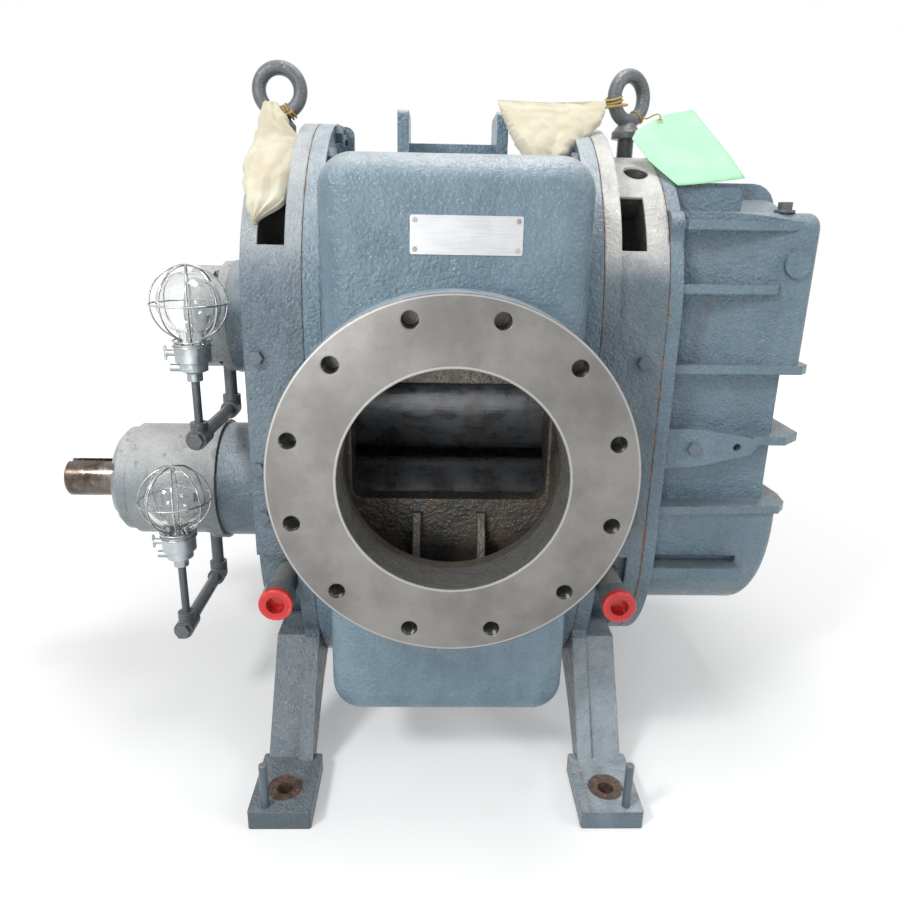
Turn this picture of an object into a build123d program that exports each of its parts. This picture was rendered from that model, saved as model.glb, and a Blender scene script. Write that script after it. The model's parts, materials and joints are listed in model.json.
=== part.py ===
from build123d import *
import os
from math import acos, cos, pi, radians, sin, sqrt, tan

# Roots vacuum pump: a vertical two-lobe rotary blower with horizontal flow.
# Millimetres, +Z up. The origin is the centre of the inlet flange's face, the shafts run along X,
# the inlet faces -Y and the outlet faces +Y.

# ---------------------------------------------------------------- driving dimensions
CENTRE_HEIGHT = 530.0         # flange centre above the floor
GEAR_CENTRES = 304.8          # between the two shafts, and the timing gears' pitch diameter
FLANGE_REACH = 440.0          # shaft plane to each flange face
CASING_LENGTH = 420.0         # between the two headplate joints
GASKET = 1.0                  # every joint gasket

# casing
TIP_CLEARANCE = 1.0           # rotor tip to bore
BARREL_WALL = 25.0
END_RING_RADIUS = 283.0       # rounded ends of the bolting rings
END_RING_RISE = 186.0         # ring arc centres above and below the flange centre
END_RING_THICK = 25.0
PLENUM_HALF_WIDTH = 176.0
PLENUM_HALF_HEIGHT = 402.0
PLENUM_WALL = 22.0
PLENUM_ROUND = 46.0
FLANGE_RADIUS = 241.3
FLANGE_THICK = 62.0
FLANGE_BORE_RADIUS = 149.5
FLANGE_BOLT_CIRCLE = 431.8
FLANGE_BOLT_COUNT = 12
FLANGE_HOLE_RADIUS = 11.0
FLANGE_HOLE_DEPTH = 38.0
PORT_HALF_WIDTH = 150.0
PORT_HALF_HEIGHT = 92.0
CHAMBER_RIB_THICK = 12.0
CHAMBER_RIB_X = 50.0
TOP_RIB_X = 79.0              # the pair of ears on the casing's crown
TOP_RIB_THICK = 18.0
TOP_RIB_RISE = 488.0
TOP_RIB_LENGTH = 120.0
TOP_BAR_RISE = 446.0
LUG_X = 176.0                 # slotted lugs beside the end rings
LUG_WIDTH = 28.0
LUG_THICK = 14.0
LUG_RISE = 466.0
DRAIN_X = 30.0                # drain boss under the inlet side, from the shaft plane
DRAIN_Y = 300.0
DRAIN_BOSS = 9.0
DRAIN_BOSS_RADIUS = 26.0
DRAIN_PLUG_RADIUS = 10.0
DRAIN_PLUG_HEX = 30.0

# headplates
HEAD_RING_THICK = 24.0
HEAD_BODY_RADIUS = 242.0
HEAD_WALL = 24.0
DRIVE_HEAD_DEPTH = 96.0       # joint face to outer face
GEAR_HEAD_DEPTH = 105.0
HEAD_SILL = 196.0             # the front box ends this far below the flange centre
HEAD_WAIST_INSET = 16.0       # the body below the sill is set in by this much
WINDOW_FROM = 24.0            # vent windows, degrees above the front horizontal
WINDOW_TO = 46.0
WINDOW_WIDTH = 48.0
TOP_PORT_RADIUS = 19.0

# pedestals, cast with the headplates
PAD_FRONT = 461.0             # shaft plane to the pad's outer edge
PAD_DEPTH = 124.0
PAD_WIDTH = 92.0
PAD_THICK = 29.0
LEG_THICK = 22.0
LEG_TOE = 345.0               # shaft plane to the leg's foot
LEG_KNEE = 238.0              # shaft plane to the leg's top
LEG_RISE = 186.0              # leg top above the floor
ARCH_SPAN = 337.0             # half the span between the pads
ARCH_RISE = 138.0
ANCHOR_RADIUS = 12.0
SPOTFACE_RADIUS = 26.0
SPOTFACE_DEPTH = 1.5
JACK_RADIUS = 6.0
JACK_LENGTH = 100.0

# rotors, shafts and gears
ROTOR_PLAY = 0.5              # rotor to rotor, taken off each profile
END_PLAY = 0.8                # rotor end to headplate
ROTOR_PHASE = 10.0            # degrees that the lower rotor's front lobe hangs down
CORE_RADIUS = 46.0
CORE_REACH = 138.0
ROTOR_SHAFT_RADIUS = 52.0
BEARING_SHAFT_RADIUS = 42.5
COUPLING_RADIUS = 35.0
SEAL_LAND_RADIUS = 36.0       # drive shaft under the end cover
RELIEF = 2.0                  # width of the groove between the land and the coupling seat
SHAFT_END = 707.0             # flange centre to the coupling end of the drive shaft
KEY_WIDTH = 20.0
KEY_DEPTH = 7.5
KEY_LENGTH = 90.0
GEAR_TEETH = 30
GEAR_FACE = 76.0
PRESSURE_ANGLE = 20.0
ROTOR_POINTS = 48
GEAR_BACKLASH = 1.2
GEAR_GAP = 26.0               # gear headplate to the gears
RIM_INNER = 112.0
HUB_RADIUS = 66.0
WEB_THICK = 30.0
SLINGER_RADIUS = 158.0
SLINGER_THICK = 5.0
LOCK_THICK = 12.0
LOCK_RADIUS = 56.0
GEAR_SEAT_RADIUS = 40.0

# bearings (one size throughout) and seals
BEARING_OUTER = 75.0
BEARING_WIDTH = 36.0
RACE_THICK = 8.0
SEAL_OUTER = 74.0
SEAL_WIDTH = 16.0
RUNNING_GAP = 0.3
RETAINER_RADIUS = 90.0
RETAINER_THICK = 8.0

# drive-end bosses, housing and covers
DRIVE_BOSS_RADIUS = 106.0
DRIVE_BOSS_END = 407.0        # flange centre to the housing joint
HOUSING_FLANGE_RADIUS = 112.0
HOUSING_FLANGE_THICK = 24.0
HOUSING_RADIUS = 103.0
HOUSING_END = 567.0
COVER_RADIUS = 96.0
COVER_END = 599.0
COVER_CHAMFER = 12.0
DRIVEN_BOSS_RADIUS = 98.0
DRIVEN_BOSS_END = 370.0
CAP_FLANGE_RADIUS = 96.0
CAP_FLANGE_THICK = 16.0
CAP_RADIUS = 88.0
CAP_END = 445.0
CAP_ROUND = 10.0

# gear case
CASE_FLANGE_THICK = 20.0
CASE_LENGTH = 225.0           # gear headplate joint to the end wall
CASE_RADIUS = 214.0
CASE_SHOULDER = 342.0         # flat top of the front and rear shoulders above the flange centre
CASE_SHOULDER_ROUND = 24.0
CASE_WALL = 14.0
CASE_CAVITY_RADIUS = 170.0
CASE_EDGE = 16.0              # rounding of the end wall's rim
CASE_TAPER = 28.0             # the upper walls draw in by this much at the flange
WAIST_TOP = 104.0             # recess between the two gear bulges
WAIST_BOTTOM = -112.0
WAIST_DEPTH = 26.0
WAIST_SHORT = 20.0            # the end wall is set back by this much between the bulges
WING_THICK = 14.0             # horizontal ribs on the front and the rear
WING_REACH = 14.0             # how far they pass the end wall
WING_UPPER = 232.0
PAD_TIP = 156.0               # length of the pointed pad on the waist, from the flange
CROWN_RIB_THICK = 16.0
CROWN_RIB_RISE = 378.0
CROWN_RIB_Y = 130.0
CROWN_RIB_LENGTH = 110.0
CROWN_WEB_RISE = 390.0
SIGHT_BOSS_X = 511.0
SIGHT_BOSS_Z = 269.0
SIGHT_BOSS_RADIUS = 20.0
FILL_PLUG_X = 490.0
FILL_PLUG_Y = 190.0
FILL_PLUG_RADIUS = 9.0
FILL_PLUG_GRIP = 12.0

# fasteners: shank radius and across-flats
COVER_SCREW = 4.0
COVER_HEX = 13.0
COVER_GRIP = 18.0             # thread below the joint
COVER_SCREW_COUNT = 6
SCREW_POCKET_RADIUS = 9.5
SCREW_POCKET_DEPTH = 12.0
JOINT_SCREW = 8.0
JOINT_HEX = 24.0
JOINT_SCREW_COUNT = 4
JOINT_SPREAD = 34.0           # degrees each side of the vertical
JOINT_GRIP = 44.0
CASE_SCREW = 6.0
CASE_HEX = 19.0
CASE_SCREW_COUNT = 3
CASE_SPREAD = 30.0
CASE_GRIP = 10.0              # thread in the headplate, clear of the eyebolt
GEAR_SCREW = 5.0
GEAR_HEX = 16.0
GEAR_SCREW_COUNT = 4
GEAR_SCREW_GRIP = 24.0
PLATE_SCREW = 1.6
PLATE_SCREW_GRIP = 6.0
HEAD_PLUG_RADIUS = 7.0
HEAD_PLUG_HEX = 19.0
HEAD_PLUG_GRIP = 18.0

# lifting eyes
EYE_RING_RADIUS = 33.75
EYE_WIRE_RADIUS = 11.25
EYE_CENTRE = 519.0
EYE_COLLAR = 457.0
EYE_COLLAR_RADIUS = 24.0
EYE_SHANK_RADIUS = 12.0
EYE_INSET = 25.0              # from the headplate's outer face
EYE_TURN = 33.0               # the gear-end eye is turned by this much

# drain pipes
PIPE_RADIUS = 21.0
PIPE_X = 261.0
PIPE_DROP = 236.0
PIPE_REACH = 330.0            # shaft plane to the pipe's open end
PIPE_CAP_RADIUS = 26.0
PIPE_CAP_LENGTH = 32.0
PIPE_CAP_SKIN = 3.0
PIPE_WALL = 4.0

# oilers: a glass bowl in a wire guard on a socket, fed to the bearing through a tee and an elbow
OILER_REACH = 195.0           # shaft plane to the bowl's axis
BOWL_RADIUS = 47.0
BOWL_WALL = 3.0
BOWL_NECK = 18.0
BOWL_RISE = 60.0              # bowl centre over the socket's rim
NECK_SEAT = 10.0
GUARD_RADIUS = 56.0
GUARD_WIRE = 1.5
GUARD_HOOPS = 4
GUARD_SIDES = 24
GUARD_FOOT = 12.0
SOCKET_RADIUS = 27.0
SOCKET_HEIGHT = 58.0
STEM_RADIUS = 6.5
NIPPLE_RADIUS = 11.0
NIPPLE_SOCKET = 10.0
FITTING_RADIUS = 16.0
DRIVE_OILER_X = -446.0
DRIVE_OILER_TEE = -350.0
DRIVE_OILER_SOCKET = -238.0
DRIVEN_OILER_X = -396.0
DRIVEN_OILER_TEE = -13.0
DRIVEN_OILER_SOCKET = 78.0

# nameplate
PLATE_X = 12.0
PLATE_Z = 305.0
PLATE_WIDTH = 140.0
PLATE_HEIGHT = 47.0
PLATE_THICK = 1.2

# shipping bags and tag
BAG_INSIDE = 0.3              # clear of the casting
BAG_THICK = 22.0
BAG_FROM = 33.0               # degrees above the front horizontal
BAG_TO = 83.0
BAG_FOOT_Y = 118.0
BAG_LEAN = 27.5
TAG_WIDTH = 104.0
TAG_HEIGHT = 160.0
TAG_THICK = 0.8
TAG_X = 360.0
TAG_SLOPE = 43.8
STRING_RADIUS = 1.2
TIE_RADIUS = 2.0

# ---------------------------------------------------------------- derived places
FLOOR = -CENTRE_HEIGHT
ARCH_RADIUS = (ARCH_SPAN**2 + ARCH_RISE**2) / (2 * ARCH_RISE)
HALF_GEAR = GEAR_CENTRES / 2
PITCH_RADIUS = GEAR_CENTRES / 2
ROTOR_TIP = 1.5 * PITCH_RADIUS - ROTOR_PLAY
BORE_RADIUS = ROTOR_TIP + TIP_CLEARANCE
BARREL_RADIUS = BORE_RADIUS + BARREL_WALL
CASING_HALF = CASING_LENGTH / 2
PLENUM_FACE = FLANGE_REACH - FLANGE_THICK
BARREL_TOP = HALF_GEAR + BARREL_RADIUS
RING_BOLT_RADIUS = (END_RING_RADIUS + BARREL_RADIUS) / 2 + 0.4
DRAIN_PLACE = (DRAIN_X, FLANGE_REACH - DRAIN_Y)
JOINT_X = CASING_HALF + GASKET
DRIVE_HEAD_X = JOINT_X + DRIVE_HEAD_DEPTH
GEAR_HEAD_X = JOINT_X + GEAR_HEAD_DEPTH
CASE_X = GEAR_HEAD_X + GASKET
CASE_END = CASE_X + CASE_LENGTH
DRIVE_BEARING_X = -(DRIVEN_BOSS_END - BEARING_WIDTH)      # inner face of both drive-end bearings
GEAR_BEARING_X = GEAR_HEAD_X - BEARING_WIDTH
OUTBOARD_BEARING_X = -(HOUSING_END - BEARING_WIDTH)
CAP_JOINT_X = DRIVEN_BOSS_END + GASKET
GEAR_X = GEAR_HEAD_X + GEAR_GAP
SLINGER_X = GEAR_X - SLINGER_THICK - 3.0
LOCK_X = GEAR_X + GEAR_FACE
LOCK_CIRCLE = (GEAR_SEAT_RADIUS + LOCK_RADIUS) / 2
RETAINER_CIRCLE = RETAINER_RADIUS - 8.0
HOUSING_JOINT_X = DRIVE_BOSS_END + GASKET
HOUSING_CIRCLE = HOUSING_RADIUS - 2.0
CAP_CIRCLE = CAP_RADIUS
COVER_CIRCLE = COVER_RADIUS - 13.0
CASE_BOLT_RADIUS = (CASE_RADIUS + HEAD_BODY_RADIUS) / 2
PAD_INNER = JOINT_X - 13.0
PAD_X = PAD_INNER + PAD_WIDTH / 2
PAD_Y = PAD_FRONT - PAD_DEPTH / 2
ANCHOR_Y = PAD_FRONT - 51.0
JACK_X = PAD_INNER + PAD_WIDTH - 24.0
JACK_Y = PAD_FRONT - 14.0
LEG_OUTER = PAD_INNER + PAD_WIDTH - 8.0
HEAD_TOP = END_RING_RISE + HEAD_BODY_RADIUS
EYE_DEPTH = 34.0
PIPE_SOCKET = 34.0
SHAFT_PASSAGE = BEARING_OUTER - RACE_THICK
LOWER_BODY_RADIUS = HEAD_BODY_RADIUS - HEAD_WAIST_INSET
GEAR_MODULE = GEAR_CENTRES / GEAR_TEETH

FRONT = Plane(origin=(0, 0, 0), x_dir=(1, 0, 0), z_dir=(0, -1, 0))
REAR = Plane(origin=(0, 2 * FLANGE_REACH, 0), x_dir=(-1, 0, 0), z_dir=(0, 1, 0))
ACROSS = Plane(origin=(0, FLANGE_REACH, 0), x_dir=(0, 1, 0), z_dir=(1, 0, 0))
DRIVE_AXIS = (0, -HALF_GEAR)
DRIVEN_AXIS = (0, HALF_GEAR)
PLATE_FACE = FRONT.offset(-FLANGE_THICK)
PLATE_SCREW_PLACES = [
    (PLATE_X + i * (PLATE_WIDTH / 2 - 6.0), PLATE_Z + k * (PLATE_HEIGHT / 2 - 6.0))
    for i in (-1, 1)
    for k in (-1, 1)
]
FILL_PLACE = (FILL_PLUG_X, FLANGE_REACH - FILL_PLUG_Y)

os.makedirs("parts", exist_ok=True)


# ---------------------------------------------------------------- helpers
def save(part, name):
    """Label a finished piece and write it as its own STEP file."""
    part.label = name
    export_step(part, f"parts/{name}.step")


def between(x_from, x_to):
    """The cross-section plane at the lower of two X places, and the distance to the other."""
    return ACROSS.offset(min(x_from, x_to)), abs(x_to - x_from)


def shaft_axis(height):
    """The X-directed axis of one shaft, by its height over the flange centre."""
    return Axis((0, FLANGE_REACH, height), (1, 0, 0))


def facing_x(x, toward):
    """A cross-section plane that looks toward +X or -X, its own Y still up."""
    return Plane(origin=(x, FLANGE_REACH, 0), x_dir=(0, toward, 0), z_dir=(toward, 0, 0))


def under(height):
    """A level plane that looks down; its own Y runs against the part's."""
    return Plane(origin=(0, 0, height), x_dir=(1, 0, 0), z_dir=(0, 0, -1))


def turn(height, outline, mode=Mode.ADD):
    """Revolve an outline of (x, radius) points about a shaft axis, in the part being built."""
    plane = Plane(origin=(0, FLANGE_REACH, height), x_dir=(1, 0, 0), z_dir=(0, -1, 0))
    with BuildSketch(plane) as section:
        with BuildLine():
            Polyline(*outline, close=True)
        make_face()
    revolve(section.sketch, axis=shaft_axis(height), mode=mode)


def ring_outline(x_from, x_to, inner, outer):
    """The half section of a plain ring."""
    return [(x_from, inner), (x_to, inner), (x_to, outer), (x_from, outer)]


def rotor_point(turned):
    """A point of the rotor's outline: epicycloid lobes and hypocycloid waists, eased by the play."""
    quarter = round(turned / (pi / 2))
    t = turned - quarter * pi / 2
    outward = 1 if quarter % 2 == 0 else -1
    rolling = PITCH_RADIUS / 4
    reach = PITCH_RADIUS + outward * rolling
    harmonic = 4 + outward
    y = reach * cos(t) + outward * rolling * cos(harmonic * t)
    z = reach * sin(t) + rolling * sin(harmonic * t)
    dy = y - PITCH_RADIUS * cos(t)
    dz = z - PITCH_RADIUS * sin(t)
    ease = outward * ROTOR_PLAY / sqrt(dy * dy + dz * dz)
    y, z = y - ease * dy, z - ease * dz
    swing = quarter * pi / 2
    return (y * cos(swing) - z * sin(swing), y * sin(swing) + z * cos(swing))


def about(axis, points, degrees_turned):
    """Points of a cross-section turned about the origin and carried to a shaft axis."""
    c, s = cos(radians(degrees_turned)), sin(radians(degrees_turned))
    return [(axis[0] + y * c - z * s, axis[1] + y * s + z * c) for y, z in points]


def rotor(axis, phase):
    """A two-lobe cycloidal rotor bored for its shaft, with a core through each lobe."""
    plane, length = between(-CASING_HALF + END_PLAY, CASING_HALF - END_PLAY)
    outline = [rotor_point(2 * pi * (i + 0.5) / ROTOR_POINTS) for i in range(ROTOR_POINTS)]
    with BuildPart() as lobes:
        with BuildSketch(plane):
            with BuildLine():
                Spline(*about(axis, outline, phase), periodic=True)
            make_face()
            with Locations(axis):
                Circle(ROTOR_SHAFT_RADIUS, mode=Mode.SUBTRACT)
            with Locations(*about(axis, [(-CORE_REACH, 0), (CORE_REACH, 0)], phase)):
                Circle(CORE_RADIUS, mode=Mode.SUBTRACT)
        extrude(amount=length)
    return lobes.part


def gear_outline():
    """Tooth points of a spur gear with straight-sided approximations to the involute flanks."""
    base = PITCH_RADIUS * cos(radians(PRESSURE_ANGLE))
    flat = tan(radians(PRESSURE_ANGLE)) - radians(PRESSURE_ANGLE)
    half_tooth = (pi * GEAR_MODULE / 2 - GEAR_BACKLASH / 2) / (2 * PITCH_RADIUS)
    root = PITCH_RADIUS - 1.25 * GEAR_MODULE
    radii = (root, PITCH_RADIUS - 0.45 * GEAR_MODULE, PITCH_RADIUS + 0.35 * GEAR_MODULE,
             PITCH_RADIUS + GEAR_MODULE)

    def half_angle(radius):
        slope = acos(min(base / radius, 1.0))
        return half_tooth + flat - (tan(slope) - slope)

    points = []
    for tooth in range(GEAR_TEETH):
        middle = 2 * pi * tooth / GEAR_TEETH
        flank = [(radius, half_angle(radius)) for radius in radii]
        for radius, half in flank:
            points.append((radius * cos(middle - half), radius * sin(middle - half)))
        for radius, half in reversed(flank):
            points.append((radius * cos(middle + half), radius * sin(middle + half)))
    return points


def timing_gear(axis, tooth_at):
    """A webbed spur gear on its hub."""
    with BuildPart() as gear:
        with BuildSketch(ACROSS.offset(GEAR_X)):
            with BuildLine():
                Polyline(*about(axis, gear_outline(), tooth_at), close=True)
            make_face()
            with Locations(axis):
                Circle(GEAR_SEAT_RADIUS, mode=Mode.SUBTRACT)
        extrude(amount=GEAR_FACE)
        for start in (GEAR_X, GEAR_X + (GEAR_FACE + WEB_THICK) / 2):
            with BuildSketch(ACROSS.offset(start)):
                with Locations(axis):
                    Circle(RIM_INNER)
                    Circle(HUB_RADIUS, mode=Mode.SUBTRACT)
            extrude(amount=(GEAR_FACE - WEB_THICK) / 2, mode=Mode.SUBTRACT)
        with BuildSketch(ACROSS.offset(GEAR_X + GEAR_FACE)):
            with Locations(*ring_places(axis, LOCK_CIRCLE, GEAR_SCREW_COUNT)):
                Circle(GEAR_SCREW)
        extrude(amount=-GEAR_SCREW_GRIP, mode=Mode.SUBTRACT)
    return gear.part


def shaft(height, outline):
    """A stepped shaft turned from an outline of (x, radius) points."""
    with BuildPart() as turned:
        turn(height, [(outline[0][0], 0)] + outline + [(outline[-1][0], 0)])
    return turned.part


def ring_places(axis, radius, count, start=0.0):
    """Places on a circle about a shaft axis, in the cross-section plane."""
    angles = [radians(start + 360.0 * i / count) for i in range(count)]
    return [(axis[0] + radius * cos(a), axis[1] + radius * sin(a)) for a in angles]


def arc_places(count, spread, radius, rise):
    """Places along the top and the bottom arc of a round-ended outline."""
    angles = [90.0 - spread + 2 * spread * i / (count - 1) for i in range(count)]
    top = [(radius * cos(radians(a)), rise + radius * sin(radians(a))) for a in angles]
    return top + [(y, -z) for y, z in top]


def hex_screws(plane, places, shank, flats, grip):
    """Hex-head screws: the heads stand on the plane, the shanks run below it."""
    with BuildSketch(plane) as heads:
        with Locations(*places):
            RegularPolygon(flats / sqrt(3), 6)
    extrude(heads.sketch, amount=1.3 * shank)
    with BuildSketch(plane) as shanks:
        with Locations(*places):
            Circle(shank)
    extrude(shanks.sketch, amount=-grip)


def drill(plane, places, radius, depth):
    """Round holes into the part being built, below the plane."""
    with BuildSketch(plane) as holes:
        with Locations(*places):
            Circle(radius)
    extrude(holes.sketch, amount=-depth, mode=Mode.SUBTRACT)


def boss(plane, places, radius, height, mode=Mode.ADD):
    """Round bosses on the part being built, standing on the plane."""
    with BuildSketch(plane) as discs:
        with Locations(*places):
            Circle(radius)
    extrude(discs.sketch, amount=height, mode=mode)


def jack_places(side):
    """The two jack screw places in one headplate's pads, seen from above."""
    return [(side * JACK_X, FLANGE_REACH + face * JACK_Y) for face in (-1, 1)]


def plug_places(side):
    """Plug places on one headplate's flat front, seen from the front."""
    return [(side * (JOINT_X + 77.0), 124.0), (side * (JOINT_X + 84.0), -50.0), (side * (JOINT_X + 80.0), -130.0)]


def headplate(side, depth, bosses, bearing_x):
    """One end head with its bolting ring, hollow body, windows, bearing seats and two legs."""
    outer = JOINT_X + depth
    ring_x = JOINT_X + HEAD_RING_THICK
    with BuildPart() as head:
        # bolting ring and leg plate in one
        plane, length = between(side * JOINT_X, side * ring_x)
        with BuildSketch(plane):
            with BuildLine():
                Polyline(
                    (-PAD_FRONT + 6.0, FLOOR),
                    (-PAD_FRONT + 6.0, FLOOR + PAD_THICK),
                    (-LEG_TOE - 8.0, FLOOR + PAD_THICK),
                    (-LEG_KNEE - 8.0, FLOOR + LEG_RISE),
                    (-LEG_KNEE, FLOOR + LEG_RISE + 60.0),
                    (LEG_KNEE, FLOOR + LEG_RISE + 60.0),
                    (LEG_KNEE + 8.0, FLOOR + LEG_RISE),
                    (LEG_TOE + 8.0, FLOOR + PAD_THICK),
                    (PAD_FRONT - 6.0, FLOOR + PAD_THICK),
                    (PAD_FRONT - 6.0, FLOOR),
                    close=True,
                )
            make_face()
            with Locations((0, FLOOR + ARCH_RISE - ARCH_RADIUS)):
                Circle(ARCH_RADIUS, mode=Mode.SUBTRACT)
            SlotCenterToCenter(2 * END_RING_RISE, 2 * END_RING_RADIUS, rotation=90)
        extrude(amount=length)
        # body: full width down to the sill, set in below it
        plane, length = between(side * ring_x, side * outer)
        with BuildSketch(plane):
            SlotCenterToCenter(2 * END_RING_RISE, 2 * HEAD_BODY_RADIUS, rotation=90)
            with Locations((0, -HEAD_SILL - END_RING_RADIUS)):
                Rectangle(2 * END_RING_RADIUS, 2 * END_RING_RADIUS, mode=Mode.SUBTRACT)
            SlotCenterToCenter(2 * END_RING_RISE, 2 * LOWER_BODY_RADIUS, rotation=90)
        extrude(amount=length)
        # hollow between the inner and the outer wall, with the bearing columns left standing
        plane, length = between(side * ring_x, side * (outer - HEAD_WALL))
        with BuildSketch(plane):
            SlotCenterToCenter(
                2 * END_RING_RISE, 2 * (LOWER_BODY_RADIUS - HEAD_WALL), rotation=90
            )
            for axis, (end, radius) in zip((DRIVE_AXIS, DRIVEN_AXIS), bosses):
                with Locations(axis):
                    Circle(radius, mode=Mode.SUBTRACT)
        extrude(amount=length, mode=Mode.SUBTRACT)
        # vent windows through the upper corners
        plane, length = between(side * ring_x, side * (ring_x + WINDOW_WIDTH))
        with BuildSketch(plane):
            for start in (WINDOW_FROM, 180.0 - WINDOW_TO):
                stop = start + WINDOW_TO - WINDOW_FROM
                inside, outside = HEAD_BODY_RADIUS - 60.0, HEAD_BODY_RADIUS + 20.0
                corners = ((inside, start), (outside, start), (outside, stop), (inside, stop))
                with BuildLine():
                    Polyline(
                        *[(r * cos(radians(a)), END_RING_RISE + r * sin(radians(a))) for r, a in corners],
                        close=True,
                    )
                make_face()
        extrude(amount=length, mode=Mode.SUBTRACT)
        # bearing bosses
        for axis, (end, radius) in zip((DRIVE_AXIS, DRIVEN_AXIS), bosses):
            if end > outer:
                plane, length = between(side * (outer - 1.0), side * end)
                with BuildSketch(plane):
                    with Locations(axis):
                        Circle(radius)
                extrude(amount=length)
        # legs: a slanted front wall with a ledge on top, and a pad, at the front and at the rear
        plane, length = between(side * (ring_x - 1.0), side * LEG_OUTER)
        for face in (-1, 1):
            with BuildSketch(plane):
                with BuildLine():
                    Polyline(
                        (face * LEG_TOE, FLOOR + PAD_THICK - 1.0),
                        (face * LEG_KNEE, FLOOR + LEG_RISE),
                        (face * 150.0, FLOOR + LEG_RISE),
                        (face * 150.0, FLOOR + LEG_RISE - LEG_THICK),
                        (face * (LEG_KNEE - LEG_THICK), FLOOR + LEG_RISE - LEG_THICK),
                        (face * (LEG_TOE - LEG_THICK - 8.0), FLOOR + PAD_THICK - 1.0),
                        close=True,
                    )
                make_face()
            extrude(amount=length)
        with BuildSketch(Plane.XY.offset(FLOOR)):
            with Locations(*[(side * PAD_X, FLANGE_REACH + face * PAD_Y) for face in (-1, 1)]):
                RectangleRounded(PAD_WIDTH, PAD_DEPTH, 4.0)
        extrude(amount=PAD_THICK)
        pad_top = Plane.XY.offset(FLOOR + PAD_THICK)
        anchors = [(side * PAD_X, FLANGE_REACH + face * ANCHOR_Y) for face in (-1, 1)]
        drill(pad_top, anchors, SPOTFACE_RADIUS, SPOTFACE_DEPTH)
        drill(pad_top, anchors, ANCHOR_RADIUS, PAD_THICK)
        drill(pad_top, jack_places(side), JACK_RADIUS, PAD_THICK)
        # seats: shaft passage, seal pocket and bearing pocket on each axis
        for axis, (end, radius) in zip((DRIVE_AXIS, DRIVEN_AXIS), bosses):
            for seat, x_from, x_to in (
                (SHAFT_PASSAGE, JOINT_X - 1.0, end + 1.0),
                (SEAL_OUTER, JOINT_X - 1.0, JOINT_X + SEAL_WIDTH),
                (BEARING_OUTER, bearing_x, end + 1.0),
            ):
                turn(axis[1], ring_outline(side * x_from, side * x_to, 0, seat), Mode.SUBTRACT)
        # eyebolt hole in the crown, access hole beside it, drain pipe and plug holes in front
        drill(Plane.XY.offset(HEAD_TOP), [(side * (outer - EYE_INSET), FLANGE_REACH)], EYE_SHANK_RADIUS,
              EYE_DEPTH)
        drill(FRONT.offset(LOWER_BODY_RADIUS - FLANGE_REACH), [(side * PIPE_X, -PIPE_DROP)], PIPE_RADIUS,
              PIPE_SOCKET)
        drill(FRONT.offset(HEAD_BODY_RADIUS - FLANGE_REACH), plug_places(side), HEAD_PLUG_RADIUS,
              HEAD_PLUG_GRIP)
        # tapped holes for the joint screws
        with BuildSketch(ACROSS.offset(side * JOINT_X)):
            with Locations(*RING_PLACES):
                Circle(JOINT_SCREW)
        extrude(amount=side * (JOINT_GRIP - END_RING_THICK - GASKET), mode=Mode.SUBTRACT)
    return head.part


RING_PLACES = arc_places(JOINT_SCREW_COUNT, JOINT_SPREAD, RING_BOLT_RADIUS, END_RING_RISE)
CASE_PLACES = arc_places(CASE_SCREW_COUNT, CASE_SPREAD, CASE_BOLT_RADIUS, END_RING_RISE)

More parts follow.
